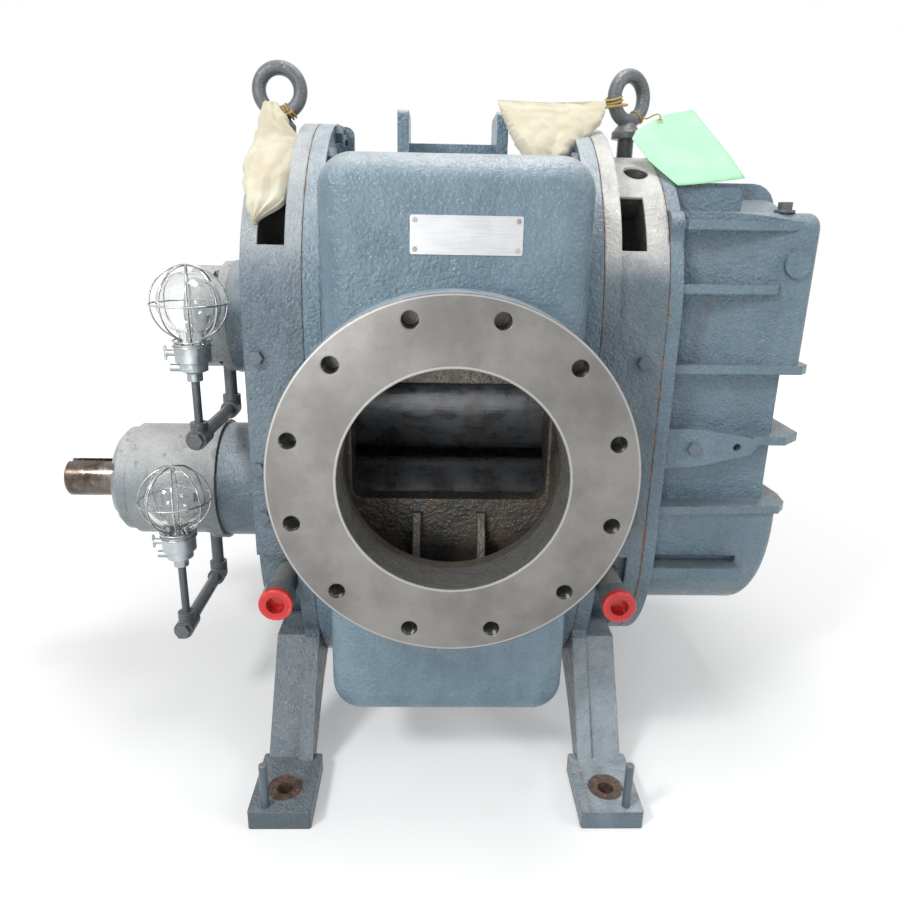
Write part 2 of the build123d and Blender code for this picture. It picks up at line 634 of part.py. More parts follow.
# ---------------------------------------------------------------- casing
with BuildPart() as casing:
    # plenum box, rounded all over, then hollowed
    with BuildSketch(FRONT.offset(-FLANGE_THICK)):
        RectangleRounded(2 * PLENUM_HALF_WIDTH, 2 * PLENUM_HALF_HEIGHT, PLENUM_ROUND)
    extrude(amount=-2 * PLENUM_FACE)
    for end in (0, -1):
        fillet(casing.faces().sort_by(Axis.Y)[end].edges(), PLENUM_ROUND - 6.0)
    with BuildSketch(FRONT.offset(-FLANGE_THICK - PLENUM_WALL)):
        RectangleRounded(
            2 * (PLENUM_HALF_WIDTH - PLENUM_WALL),
            2 * (PLENUM_HALF_HEIGHT - PLENUM_WALL),
            PLENUM_ROUND - PLENUM_WALL,
        )
    extrude(amount=-2 * (PLENUM_FACE - PLENUM_WALL), mode=Mode.SUBTRACT)
    # ribs that tie the barrel to the plenum above and below each port
    chamber_y = PLENUM_FACE - PLENUM_WALL + 1.0
    chamber_z = PLENUM_HALF_HEIGHT - PLENUM_WALL + 1.0
    rib_root = PORT_HALF_HEIGHT + 20.0
    for x in (-CHAMBER_RIB_X, CHAMBER_RIB_X):
        plane, length = between(x - CHAMBER_RIB_THICK / 2, x + CHAMBER_RIB_THICK / 2)
        for face in (-1, 1):
            for half in (-1, 1):
                with BuildSketch(plane):
                    with BuildLine():
                        Polyline(
                            (face * (BORE_RADIUS + 8.0), half * rib_root),
                            (face * (BARREL_RADIUS + 8.0), half * rib_root),
                            (face * chamber_y, half * (chamber_z - 90.0)),
                            (face * chamber_y, half * chamber_z),
                            (face * 150.0, half * chamber_z),
                            close=True,
                        )
                    make_face()
                extrude(amount=length)
    # barrel around the two bores, and the bolting ring at each end
    plane, length = between(-CASING_HALF, CASING_HALF)
    with BuildSketch(plane):
        SlotCenterToCenter(GEAR_CENTRES, 2 * BARREL_RADIUS, rotation=90)
    extrude(amount=length)
    for side in (-1, 1):
        plane, length = between(side * CASING_HALF, side * (CASING_HALF - END_RING_THICK))
        with BuildSketch(plane):
            SlotCenterToCenter(2 * END_RING_RISE, 2 * END_RING_RADIUS, rotation=90)
        extrude(amount=length)
    # flanges, and a drain boss under the inlet side
    for facing in (FRONT, REAR):
        with BuildSketch(facing):
            Circle(FLANGE_RADIUS)
        extrude(amount=-FLANGE_THICK)
    boss(Plane.XY.offset(-PLENUM_HALF_HEIGHT - DRAIN_BOSS), [DRAIN_PLACE], DRAIN_BOSS_RADIUS,
         DRAIN_BOSS + 12.0)
    # two ears on the crown, joined by a bar, and a slotted lug beside each end ring
    for side in (-1, 1):
        plane, length = between(side * TOP_RIB_X - TOP_RIB_THICK / 2, side * TOP_RIB_X + TOP_RIB_THICK / 2)
        with BuildSketch(plane):
            with Locations((0, (TOP_RIB_RISE + BARREL_TOP) / 2 - 10.0)):
                RectangleRounded(TOP_RIB_LENGTH, TOP_RIB_RISE - BARREL_TOP + 20.0, 9.0)
        extrude(amount=length)
        with BuildSketch(FRONT.offset(-FLANGE_REACH + LUG_THICK / 2)):
            with Locations((side * LUG_X, (LUG_RISE + BARREL_TOP) / 2 - 10.0)):
                RectangleRounded(LUG_WIDTH, LUG_RISE - BARREL_TOP + 20.0, LUG_WIDTH / 2 - 1.0)
            with Locations((side * LUG_X, LUG_RISE - LUG_WIDTH / 2 - 6.0)):
                SlotOverall(LUG_WIDTH - 8.0, 6.0, rotation=90, mode=Mode.SUBTRACT)
        extrude(amount=-LUG_THICK)
    plane, length = between(-TOP_RIB_X, TOP_RIB_X)
    with BuildSketch(plane):
        with Locations((TOP_RIB_LENGTH / 4, (TOP_BAR_RISE + BARREL_TOP) / 2 - 10.0)):
            Rectangle(16.0, TOP_BAR_RISE - BARREL_TOP + 20.0)
    extrude(amount=length)
    # bores, ports, flange bores and tapped holes
    plane, length = between(-CASING_HALF, CASING_HALF)
    with BuildSketch(plane):
        with Locations(DRIVE_AXIS, DRIVEN_AXIS):
            Circle(BORE_RADIUS)
    extrude(amount=length, mode=Mode.SUBTRACT)
    with BuildSketch(FRONT.offset(BARREL_RADIUS + 2.0 - FLANGE_REACH)):
        RectangleRounded(2 * PORT_HALF_WIDTH, 2 * PORT_HALF_HEIGHT, 18.0)
    extrude(amount=-2 * (BARREL_RADIUS + 2.0), mode=Mode.SUBTRACT)
    for facing in (FRONT, REAR):
        drill(facing, [(0, 0)], FLANGE_BORE_RADIUS, FLANGE_THICK + PLENUM_WALL + 1.0)
        with BuildSketch(facing):
            with PolarLocations(FLANGE_BOLT_CIRCLE / 2, FLANGE_BOLT_COUNT, 180.0 / FLANGE_BOLT_COUNT):
                Circle(FLANGE_HOLE_RADIUS)
        extrude(amount=-FLANGE_HOLE_DEPTH, mode=Mode.SUBTRACT)
    # screw holes through both end rings, nameplate screws and the drain hole
    for side in (-1, 1):
        plane = ACROSS.offset(side * (CASING_HALF - END_RING_THICK))
        with BuildSketch(plane):
            with Locations(*RING_PLACES):
                Circle(JOINT_SCREW)
        extrude(amount=side * END_RING_THICK, mode=Mode.SUBTRACT)
    drill(PLATE_FACE, PLATE_SCREW_PLACES, PLATE_SCREW, PLATE_SCREW_GRIP)
    drill(under(-PLENUM_HALF_HEIGHT - DRAIN_BOSS), [(DRAIN_PLACE[0], -DRAIN_PLACE[1])], DRAIN_PLUG_RADIUS,
          DRAIN_BOSS + 10.0)
save(casing.part, "casing")

with BuildPart() as casing_drain_plug:
    seat = under(-PLENUM_HALF_HEIGHT - DRAIN_BOSS)
    hex_screws(seat, [(DRAIN_PLACE[0], -DRAIN_PLACE[1])], DRAIN_PLUG_RADIUS, DRAIN_PLUG_HEX, DRAIN_BOSS + 6.0)
save(casing_drain_plug.part, "casing_drain_plug")

# ---------------------------------------------------------------- headplates, gaskets, joint screws
DRIVE_HEAD_BOSSES = ((DRIVE_BOSS_END, DRIVE_BOSS_RADIUS), (DRIVEN_BOSS_END, DRIVEN_BOSS_RADIUS))
with BuildPart() as drive_headplate:
    add(headplate(-1, DRIVE_HEAD_DEPTH, DRIVE_HEAD_BOSSES, -DRIVE_BEARING_X))
    for axis, circle, joint in (
        (DRIVE_AXIS, HOUSING_CIRCLE, DRIVE_BOSS_END),
        (DRIVEN_AXIS, CAP_CIRCLE, DRIVEN_BOSS_END),
    ):
        drill(facing_x(-joint, -1), ring_places(axis, circle, COVER_SCREW_COUNT), COVER_SCREW, COVER_GRIP)
save(drive_headplate.part, "drive_headplate")

GEAR_HEAD_BOSSES = ((GEAR_HEAD_X, RETAINER_RADIUS + 12.0), (GEAR_HEAD_X, RETAINER_RADIUS + 12.0))
with BuildPart() as gear_headplate:
    add(headplate(1, GEAR_HEAD_DEPTH, GEAR_HEAD_BOSSES, GEAR_BEARING_X))
    # below the sill the outer wall keeps the full outline, for the gear case to bolt to
    plane, length = between(GEAR_HEAD_X - HEAD_WALL, GEAR_HEAD_X)
    with BuildSketch(plane):
        SlotCenterToCenter(2 * END_RING_RISE, 2 * HEAD_BODY_RADIUS, rotation=90)
        SlotCenterToCenter(2 * END_RING_RISE, 2 * LOWER_BODY_RADIUS - 2.0, rotation=90, mode=Mode.SUBTRACT)
        with Locations((0, 2 * END_RING_RADIUS - HEAD_SILL)):
            Rectangle(4 * END_RING_RADIUS, 4 * END_RING_RADIUS, mode=Mode.SUBTRACT)
    extrude(amount=length)
    drill(facing_x(GEAR_HEAD_X, 1), CASE_PLACES, CASE_SCREW, CASE_GRIP)
    for axis in (DRIVE_AXIS, DRIVEN_AXIS):
        places = ring_places(axis, RETAINER_CIRCLE, COVER_SCREW_COUNT)
        drill(facing_x(GEAR_HEAD_X, 1), places, COVER_SCREW, COVER_GRIP)
    access = (GEAR_HEAD_X - 33.0, FLANGE_REACH - 115.0)
    drill(Plane.XY.offset(HEAD_TOP), [access], TOP_PORT_RADIUS, HEAD_WALL + 66.0)
save(gear_headplate.part, "gear_headplate")

for name, side in (("drive_joint_gasket", -1), ("gear_joint_gasket", 1)):
    with BuildPart() as joint_gasket:
        plane, length = between(side * CASING_HALF, side * JOINT_X)
        with BuildSketch(plane):
            SlotCenterToCenter(2 * END_RING_RISE, 2 * END_RING_RADIUS, rotation=90)
            with Locations(DRIVE_AXIS, DRIVEN_AXIS):
                Circle(BORE_RADIUS, mode=Mode.SUBTRACT)
            with Locations(*RING_PLACES):
                Circle(JOINT_SCREW, mode=Mode.SUBTRACT)
        extrude(amount=length)
    save(joint_gasket.part, name)

with BuildPart() as joint_screws:
    for side in (-1, 1):
        seat = facing_x(side * (CASING_HALF - END_RING_THICK), -side)
        hex_screws(seat, RING_PLACES, JOINT_SCREW, JOINT_HEX, JOINT_GRIP)
save(joint_screws.part, "joint_screws")

with BuildPart() as headplate_plugs:
    for side in (-1, 1):
        front = FRONT.offset(HEAD_BODY_RADIUS - FLANGE_REACH)
        hex_screws(front, plug_places(side), HEAD_PLUG_RADIUS, HEAD_PLUG_HEX, HEAD_PLUG_GRIP)
save(headplate_plugs.part, "headplate_plugs")

with BuildPart() as jack_pins:
    for side in (-1, 1):
        with BuildSketch(Plane.XY.offset(FLOOR + 2.0)) as pins:
            with Locations(*jack_places(side)):
                Circle(JACK_RADIUS)
        extrude(pins.sketch, amount=JACK_LENGTH)
    fillet(jack_pins.edges().group_by(Axis.Z)[-1], 1.5)
save(jack_pins.part, "jack_pins")

# ---------------------------------------------------------------- shafts and rotors
DRIVE_TURNED = [
    (-SHAFT_END, COUPLING_RADIUS - 3.0),
    (-SHAFT_END + 3.0, COUPLING_RADIUS),
    (-COVER_END - 3 * RELIEF, COUPLING_RADIUS),
    (-COVER_END - 3 * RELIEF, COUPLING_RADIUS - RELIEF / 2),
    (-COVER_END - 2 * RELIEF, COUPLING_RADIUS - RELIEF / 2),
    (-COVER_END - 2 * RELIEF, SEAL_LAND_RADIUS),
    (-HOUSING_END - 8.0, SEAL_LAND_RADIUS),
    (-HOUSING_END - 8.0, BEARING_SHAFT_RADIUS),
    (DRIVE_BEARING_X, BEARING_SHAFT_RADIUS),
    (DRIVE_BEARING_X, ROTOR_SHAFT_RADIUS),
]
GEAR_TURNED = [
    (GEAR_BEARING_X, ROTOR_SHAFT_RADIUS),
    (GEAR_BEARING_X, BEARING_SHAFT_RADIUS),
    (GEAR_X, BEARING_SHAFT_RADIUS),
    (GEAR_X, GEAR_SEAT_RADIUS),
    (LOCK_X, GEAR_SEAT_RADIUS),
]
with BuildPart() as drive_shaft:
    add(shaft(DRIVE_AXIS[1], DRIVE_TURNED + GEAR_TURNED))
    # keyway for the coupling
    with BuildSketch(Plane.XY.offset(DRIVE_AXIS[1] + COUPLING_RADIUS - KEY_DEPTH)):
        with Locations((-SHAFT_END + KEY_LENGTH / 2, FLANGE_REACH)):
            Rectangle(KEY_LENGTH, KEY_WIDTH)
    extrude(amount=2 * KEY_DEPTH, mode=Mode.SUBTRACT)
save(drive_shaft.part, "drive_shaft")

DRIVEN_END = [(-DRIVEN_BOSS_END, BEARING_SHAFT_RADIUS), (DRIVE_BEARING_X, BEARING_SHAFT_RADIUS),
              (DRIVE_BEARING_X, ROTOR_SHAFT_RADIUS)]
with BuildPart() as driven_shaft:
    add(shaft(DRIVEN_AXIS[1], DRIVEN_END + GEAR_TURNED))
save(driven_shaft.part, "driven_shaft")

with BuildPart() as drive_rotor:
    add(rotor(DRIVE_AXIS, ROTOR_PHASE))
save(drive_rotor.part, "drive_rotor")

with BuildPart() as driven_rotor:
    add(rotor(DRIVEN_AXIS, 90.0 - ROTOR_PHASE))
save(driven_rotor.part, "driven_rotor")

# ---------------------------------------------------------------- timing gears and their fixings
with BuildPart() as drive_timing_gear:
    add(timing_gear(DRIVE_AXIS, 90.0))
save(drive_timing_gear.part, "drive_timing_gear")

with BuildPart() as driven_timing_gear:
    add(timing_gear(DRIVEN_AXIS, 90.0 + 180.0 / GEAR_TEETH))
save(driven_timing_gear.part, "driven_timing_gear")

for name, axis in (("drive", DRIVE_AXIS), ("driven", DRIVEN_AXIS)):
    screw_places = ring_places(axis, LOCK_CIRCLE, GEAR_SCREW_COUNT)
    with BuildPart() as lock_plate:
        turn(axis[1], ring_outline(LOCK_X, LOCK_X + LOCK_THICK, 0, LOCK_RADIUS))
        drill(facing_x(LOCK_X + LOCK_THICK, 1), screw_places, GEAR_SCREW, LOCK_THICK)
    save(lock_plate.part, name + "_gear_lock_plate")
    with BuildPart() as lock_screws:
        seat = facing_x(LOCK_X + LOCK_THICK, 1)
        hex_screws(seat, screw_places, GEAR_SCREW, GEAR_HEX, LOCK_THICK + GEAR_SCREW_GRIP)
    save(lock_screws.part, name + "_gear_lock_screws")

with BuildPart() as oil_slinger:
    turn(
        DRIVE_AXIS[1],
        ring_outline(SLINGER_X, SLINGER_X + SLINGER_THICK, BEARING_SHAFT_RADIUS, SLINGER_RADIUS),
    )
save(oil_slinger.part, "oil_slinger")

# ---------------------------------------------------------------- bearings and seals
DRIVE_BEARINGS = (DRIVE_BEARING_X - BEARING_WIDTH, OUTBOARD_BEARING_X - BEARING_WIDTH, GEAR_BEARING_X)
DRIVEN_BEARINGS = (DRIVE_BEARING_X - BEARING_WIDTH, GEAR_BEARING_X)
with BuildPart() as bearing_outer_rings:
    for axis, places in ((DRIVE_AXIS, DRIVE_BEARINGS), (DRIVEN_AXIS, DRIVEN_BEARINGS)):
        for x in places:
            turn(axis[1], ring_outline(x, x + BEARING_WIDTH, BEARING_OUTER - RACE_THICK, BEARING_OUTER))
save(bearing_outer_rings.part, "bearing_outer_rings")

for name, axis, places in (("drive", DRIVE_AXIS, DRIVE_BEARINGS), ("driven", DRIVEN_AXIS, DRIVEN_BEARINGS)):
    with BuildPart() as inner_rings:
        for x in places:
            rolling = BEARING_OUTER - RACE_THICK - RUNNING_GAP
            turn(axis[1], ring_outline(x, x + BEARING_WIDTH, BEARING_SHAFT_RADIUS, rolling))
    save(inner_rings.part, name + "_bearing_inner_rings")

with BuildPart() as shaft_seals:
    for axis in (DRIVE_AXIS, DRIVEN_AXIS):
        for side in (-1, 1):
            lip = ROTOR_SHAFT_RADIUS + RUNNING_GAP
            turn(axis[1], ring_outline(side * JOINT_X, side * (JOINT_X + SEAL_WIDTH), lip, SEAL_OUTER))
save(shaft_seals.part, "shaft_seals")

with BuildPart() as bearing_retainers:
    for axis in (DRIVE_AXIS, DRIVEN_AXIS):
        outline = ring_outline(GEAR_HEAD_X, GEAR_HEAD_X + RETAINER_THICK, SHAFT_PASSAGE, RETAINER_RADIUS)
        turn(axis[1], outline)
        places = ring_places(axis, RETAINER_CIRCLE, COVER_SCREW_COUNT)
        drill(facing_x(GEAR_HEAD_X + RETAINER_THICK, 1), places, COVER_SCREW, RETAINER_THICK)
save(bearing_retainers.part, "bearing_retainers")

with BuildPart() as retainer_screws:
    for axis in (DRIVE_AXIS, DRIVEN_AXIS):
        places = ring_places(axis, RETAINER_CIRCLE, COVER_SCREW_COUNT)
        seat = facing_x(GEAR_HEAD_X + RETAINER_THICK, 1)
        hex_screws(seat, places, COVER_SCREW, COVER_HEX, RETAINER_THICK + COVER_GRIP)
save(retainer_screws.part, "retainer_screws")

# ---------------------------------------------------------------- drive-end housing and covers
with BuildPart() as drive_bearing_housing:
    turn(
        DRIVE_AXIS[1],
        [
            (DRIVE_BEARING_X - BEARING_WIDTH, SHAFT_PASSAGE),
            (DRIVE_BEARING_X - BEARING_WIDTH, BEARING_OUTER - RUNNING_GAP),
            (-HOUSING_JOINT_X, BEARING_OUTER - RUNNING_GAP),
            (-HOUSING_JOINT_X, HOUSING_FLANGE_RADIUS),
            (-HOUSING_JOINT_X - HOUSING_FLANGE_THICK, HOUSING_FLANGE_RADIUS),
            (-HOUSING_JOINT_X - HOUSING_FLANGE_THICK, HOUSING_RADIUS),
            (-HOUSING_END, HOUSING_RADIUS),
            (-HOUSING_END, BEARING_OUTER),
            (OUTBOARD_BEARING_X, BEARING_OUTER),
            (OUTBOARD_BEARING_X, SHAFT_PASSAGE),
        ],
    )
    pocket_seat = facing_x(-HOUSING_JOINT_X - HOUSING_FLANGE_THICK - SCREW_POCKET_DEPTH, -1)
    places = ring_places(DRIVE_AXIS, HOUSING_CIRCLE, COVER_SCREW_COUNT)
    drill(pocket_seat, places, SCREW_POCKET_RADIUS, SCREW_POCKET_DEPTH)
    drill(pocket_seat, places, COVER_SCREW, SCREW_POCKET_DEPTH + HOUSING_FLANGE_THICK)
    cover_places = ring_places(DRIVE_AXIS, COVER_CIRCLE, COVER_SCREW_COUNT, 30.0)
    drill(facing_x(-HOUSING_END, -1), cover_places, COVER_SCREW, COVER_GRIP)
    # drain port under the barrel for the oiler's pipe
    drill(under(DRIVE_AXIS[1] - HOUSING_RADIUS), [(DRIVE_OILER_X, -FLANGE_REACH)], NIPPLE_RADIUS,
          NIPPLE_SOCKET)
save(drive_bearing_housing.part, "drive_bearing_housing")

with BuildPart() as drive_end_cover:
    bore = SEAL_LAND_RADIUS + RUNNING_GAP
    turn(
        DRIVE_AXIS[1],
        [
            (-HOUSING_END, SHAFT_PASSAGE),
            (-HOUSING_END, COVER_RADIUS),
            (-COVER_END + COVER_CHAMFER, COVER_RADIUS),
            (-COVER_END, COVER_RADIUS - COVER_CHAMFER),
            (-COVER_END, bore + 8.0),
            (-COVER_END + 5.0, bore + 8.0),
            (-COVER_END + 5.0, bore),
            (-HOUSING_END - 13.0, bore),
            (-HOUSING_END - 13.0, BEARING_SHAFT_RADIUS + 4.0),
            (-HOUSING_END - 3.0, BEARING_SHAFT_RADIUS + 4.0),
            (-HOUSING_END - 3.0, SHAFT_PASSAGE),
        ],
    )
    drill(facing_x(-COVER_END, -1), cover_places, SCREW_POCKET_RADIUS, SCREW_POCKET_DEPTH)
    drill(facing_x(-COVER_END, -1), cover_places, COVER_SCREW, COVER_END - HOUSING_END)
save(drive_end_cover.part, "drive_end_cover")

with BuildPart() as end_cover_screws:
    grip = COVER_END - HOUSING_END - SCREW_POCKET_DEPTH + COVER_GRIP
    seat = facing_x(-COVER_END + SCREW_POCKET_DEPTH, -1)
    hex_screws(seat, cover_places, COVER_SCREW, COVER_HEX, grip)
save(end_cover_screws.part, "end_cover_screws")

with BuildPart() as housing_screws:
    seat = facing_x(-HOUSING_JOINT_X - HOUSING_FLANGE_THICK, -1)
    places = ring_places(DRIVE_AXIS, HOUSING_CIRCLE, COVER_SCREW_COUNT)
    hex_screws(seat, places, COVER_SCREW, COVER_HEX, HOUSING_FLANGE_THICK + GASKET + COVER_GRIP)
save(housing_screws.part, "housing_screws")

with BuildPart() as driven_bearing_cap:
    turn(
        DRIVEN_AXIS[1],
        [
            (-CAP_JOINT_X, 0),
            (-CAP_JOINT_X, CAP_FLANGE_RADIUS),
            (-CAP_JOINT_X - CAP_FLANGE_THICK, CAP_FLANGE_RADIUS),
            (-CAP_JOINT_X - CAP_FLANGE_THICK, CAP_RADIUS),
            (-CAP_END, CAP_RADIUS),
            (-CAP_END, 0),
        ],
    )
    fillet(driven_bearing_cap.faces().sort_by(Axis.X)[0].edges(), CAP_ROUND)
    hollow = ring_outline(-CAP_JOINT_X, -CAP_END + 12.0, 0, SHAFT_PASSAGE)
    turn(DRIVEN_AXIS[1], hollow, Mode.SUBTRACT)
    places = ring_places(DRIVEN_AXIS, CAP_CIRCLE, COVER_SCREW_COUNT)
    pocket_seat = facing_x(-CAP_JOINT_X - CAP_FLANGE_THICK - SCREW_POCKET_DEPTH, -1)
    drill(pocket_seat, places, SCREW_POCKET_RADIUS, SCREW_POCKET_DEPTH)
    drill(pocket_seat, places, COVER_SCREW, SCREW_POCKET_DEPTH + CAP_FLANGE_THICK)
    feed_depth = NIPPLE_SOCKET + CAP_FLANGE_RADIUS - CAP_RADIUS
    drill(under(DRIVEN_AXIS[1] - CAP_FLANGE_RADIUS), [(DRIVEN_OILER_X, -FLANGE_REACH)], NIPPLE_RADIUS,
          feed_depth)
save(driven_bearing_cap.part, "driven_bearing_cap")

with BuildPart() as cap_screws:
    seat = facing_x(-CAP_JOINT_X - CAP_FLANGE_THICK, -1)
    places = ring_places(DRIVEN_AXIS, CAP_CIRCLE, COVER_SCREW_COUNT)
    hex_screws(seat, places, COVER_SCREW, COVER_HEX, CAP_FLANGE_THICK + GASKET + COVER_GRIP)
save(cap_screws.part, "cap_screws")

with BuildPart() as bearing_cover_gaskets:
    for axis, joint, radius, circle in (
        (DRIVE_AXIS, DRIVE_BOSS_END, DRIVE_BOSS_RADIUS, HOUSING_CIRCLE),
        (DRIVEN_AXIS, DRIVEN_BOSS_END, CAP_FLANGE_RADIUS, CAP_CIRCLE),
    ):
        turn(axis[1], ring_outline(-joint, -joint - GASKET, BEARING_OUTER, radius))
        drill(facing_x(-joint - GASKET, -1), ring_places(axis, circle, COVER_SCREW_COUNT), COVER_SCREW, GASKET)
save(bearing_cover_gaskets.part, "bearing_cover_gaskets")

# ---------------------------------------------------------------- gear case
def wing(height, thick, plan):
    """A horizontal rib on the front of the gear case and its twin on the rear."""
    with BuildSketch(Plane.XY.offset(height - thick / 2)) as plans:
        for face in (-1, 1):
            with BuildLine():
                Polyline(*[(x, FLANGE_REACH + face * y) for x, y in plan], close=True)
            make_face()
    extrude(plans.sketch, amount=thick)


def upright(y, thick, outline):
    """An upright rib along the gear case, from an outline of (x, z) points."""
    with BuildSketch(FRONT.offset(-FLANGE_REACH - y + thick / 2)) as outlines:
        with BuildLine():
            Polyline(*outline, close=True)
        make_face()
    extrude(outlines.sketch, amount=-thick)


CASE_INSIDE_END = CASE_END - CASE_WALL
CASE_FLANGE_X = CASE_X + CASE_FLANGE_THICK
WAIST_END = CASE_END - WAIST_SHORT
WAIST_REACH = CASE_RADIUS - WAIST_DEPTH
with BuildPart() as gear_case:
    plane, length = between(CASE_X, CASE_END)
    with BuildSketch(plane):
        SlotCenterToCenter(GEAR_CENTRES, 2 * CASE_RADIUS, rotation=90)
        with Locations((0, CASE_SHOULDER / 2)):
            RectangleRounded(2 * CASE_RADIUS, CASE_SHOULDER, CASE_SHOULDER_ROUND)
    extrude(amount=length)
    fillet(gear_case.faces().sort_by(Axis.X)[-1].edges(), CASE_EDGE)
    # the upper walls draw in towards the flange, leaving the shoulder above and the ribs between
    for low, high in (
        (WAIST_TOP + WING_THICK, WING_UPPER - WING_THICK / 2),
        (WING_UPPER + WING_THICK / 2, CASE_SHOULDER - CASE_SHOULDER_ROUND + 4.0),
    ):
        with BuildSketch(Plane.XY.offset(low)) as wedges:
            for face in (-1, 1):
                with BuildLine():
                    Polyline(
                        (CASE_FLANGE_X, FLANGE_REACH + face * (CASE_RADIUS - CASE_TAPER)),
                        (CASE_FLANGE_X, FLANGE_REACH + face * (CASE_RADIUS + 10.0)),
                        (CASE_END - 22.0, FLANGE_REACH + face * (CASE_RADIUS + 10.0)),
                        (CASE_END - 22.0, FLANGE_REACH + face * CASE_RADIUS),
                        close=True,
                    )
                make_face()
        extrude(wedges.sketch, amount=high - low, mode=Mode.SUBTRACT)
    # waist between the two gear bulges, front, rear and end
    with BuildSketch(Plane.XY.offset(WAIST_BOTTOM)):
        with Locations(((CASE_FLANGE_X + CASE_END) / 2 + 50.0, FLANGE_REACH)):
            Rectangle(CASE_END - CASE_FLANGE_X + 100.0, 2 * CASE_RADIUS + 20.0)
            with Locations((-50.0 - WAIST_SHORT / 2, 0)):
                Rectangle(WAIST_END - CASE_FLANGE_X, 2 * WAIST_REACH, mode=Mode.SUBTRACT)
    extrude(amount=WAIST_TOP - WAIST_BOTTOM, mode=Mode.SUBTRACT)
    # pocket in the lower bulge
    pocket_low = WAIST_BOTTOM - 130.0
    with BuildSketch(Plane.XY.offset(pocket_low)) as pockets:
        for face in (-1, 1):
            with Locations(((CASE_FLANGE_X + CASE_END - 56.0) / 2, FLANGE_REACH + face * (CASE_RADIUS - 6.0))):
                Rectangle(CASE_END - 56.0 - CASE_FLANGE_X, 40.0)
    extrude(pockets.sketch, amount=34.0, mode=Mode.SUBTRACT)
    # bolting flange
    plane, length = between(CASE_X, CASE_FLANGE_X)
    with BuildSketch(plane):
        SlotCenterToCenter(2 * END_RING_RISE, 2 * HEAD_BODY_RADIUS, rotation=90)
    extrude(amount=length)
    # horizontal ribs
    root = WAIST_REACH - 6.0
    flank = CASE_RADIUS - CASE_TAPER - 8.0
    tip = CASE_END + WING_REACH
    wing(
        WING_UPPER,
        WING_THICK,
        [(CASE_FLANGE_X, flank), (CASE_FLANGE_X, HEAD_BODY_RADIUS - 12.0),
         (CASE_END - 56.0, CASE_RADIUS + 4.0), (CASE_END - 48.0, CASE_RADIUS - 8.0)],
    )
    wing(
        CASE_SHOULDER - CASE_SHOULDER_ROUND - 2.0 + WING_THICK / 2,
        WING_THICK,
        [(CASE_FLANGE_X, flank), (CASE_FLANGE_X, HEAD_BODY_RADIUS - 12.0), (CASE_END - 30.0, CASE_RADIUS - 2.0),
         (CASE_END - 30.0, CASE_RADIUS - 12.0)],
    )
    wing(
        WAIST_TOP + WING_THICK / 2,
        WING_THICK,
        [(CASE_FLANGE_X, root), (CASE_FLANGE_X, CASE_RADIUS + 8.0), (tip - 14.0, CASE_RADIUS + 2.0),
         (tip, CASE_RADIUS - 12.0), (tip, root - 90.0), (CASE_END - 10.0, root - 90.0), (WAIST_END - 6.0, root)],
    )
    wing(
        WAIST_BOTTOM - WING_THICK / 2,
        WING_THICK,
        [(CASE_FLANGE_X, root), (CASE_FLANGE_X, CASE_RADIUS + 16.0), (tip - 16.0, CASE_RADIUS + 5.0),
         (tip, CASE_RADIUS - 14.0), (tip + 6.0, root - 20.0), (tip, root - 90.0),
         (CASE_END - 10.0, root - 90.0), (WAIST_END - 6.0, root)],
    )
    wing(
        -4.0,
        WING_THICK,
        [(WAIST_END - 60.0, root), (WAIST_END - 40.0, CASE_RADIUS), (CASE_END - 6.0, CASE_RADIUS),
         (tip + 12.0, WAIST_REACH - 4.0), (tip + 12.0, root - 90.0), (WAIST_END - 6.0, root - 90.0)],
    )
    # pointed pad on the waist, with a tapped hole at its tip
    pad_front = FRONT.offset(CASE_RADIUS - FLANGE_REACH)
    pad_x = CASE_FLANGE_X
    with BuildSketch(pad_front) as pad:
        with BuildLine():
            Polyline(
                (pad_x, 14.0),
                (pad_x + 60.0, 14.0),
                (pad_x + PAD_TIP - 15.0, 1.0),
                (pad_x + PAD_TIP, -13.0),
                (pad_x + PAD_TIP - 10.0, -28.0),
                (pad_x + 67.0, -47.0),
                (pad_x, -53.0),
                close=True,
            )
        make_face()
    extrude(pad.sketch, amount=-(WAIST_DEPTH + 2.0))
    # upright ribs: two on the crown, a web on the centre, and one down the end of the waist
    crown = CASE_SHOULDER - 30.0
    rib_end = CASE_FLANGE_X + CROWN_RIB_LENGTH
    for y in (-CROWN_RIB_Y, CROWN_RIB_Y):
        upright(
            y,
            CROWN_RIB_THICK,
            [(CASE_FLANGE_X, crown), (CASE_FLANGE_X, CROWN_RIB_RISE), (rib_end - 8.0, CROWN_RIB_RISE),
             (rib_end, CROWN_RIB_RISE - 8.0), (rib_end - 4.0, crown)],
        )
        upright(y + (8.0 if y < 0 else -8.0), CROWN_RIB_THICK - 2.0, [
            (WAIST_END - 4.0, WAIST_BOTTOM), (WAIST_END - 4.0, WAIST_TOP), (CASE_END, WAIST_TOP),
            (CASE_END, WAIST_BOTTOM)])
    round_web = 40.0
    web_arc = [
        (CASE_END + 3.0 - round_web * (1 - cos(radians(a))), CROWN_WEB_RISE - round_web * (1 - sin(radians(a))))
        for a in (90, 72, 54, 36, 18, 0)
    ]
    upright(-20.0, CROWN_RIB_THICK, [(CASE_FLANGE_X, crown), (CASE_FLANGE_X, CROWN_WEB_RISE)] + web_arc
            + [(CASE_END - 12.0, crown)])
    # sight boss near the upper corner
    boss(FRONT.offset(CASE_RADIUS + 5.0 - FLANGE_REACH), [(SIGHT_BOSS_X, SIGHT_BOSS_Z)], SIGHT_BOSS_RADIUS, -11.0)
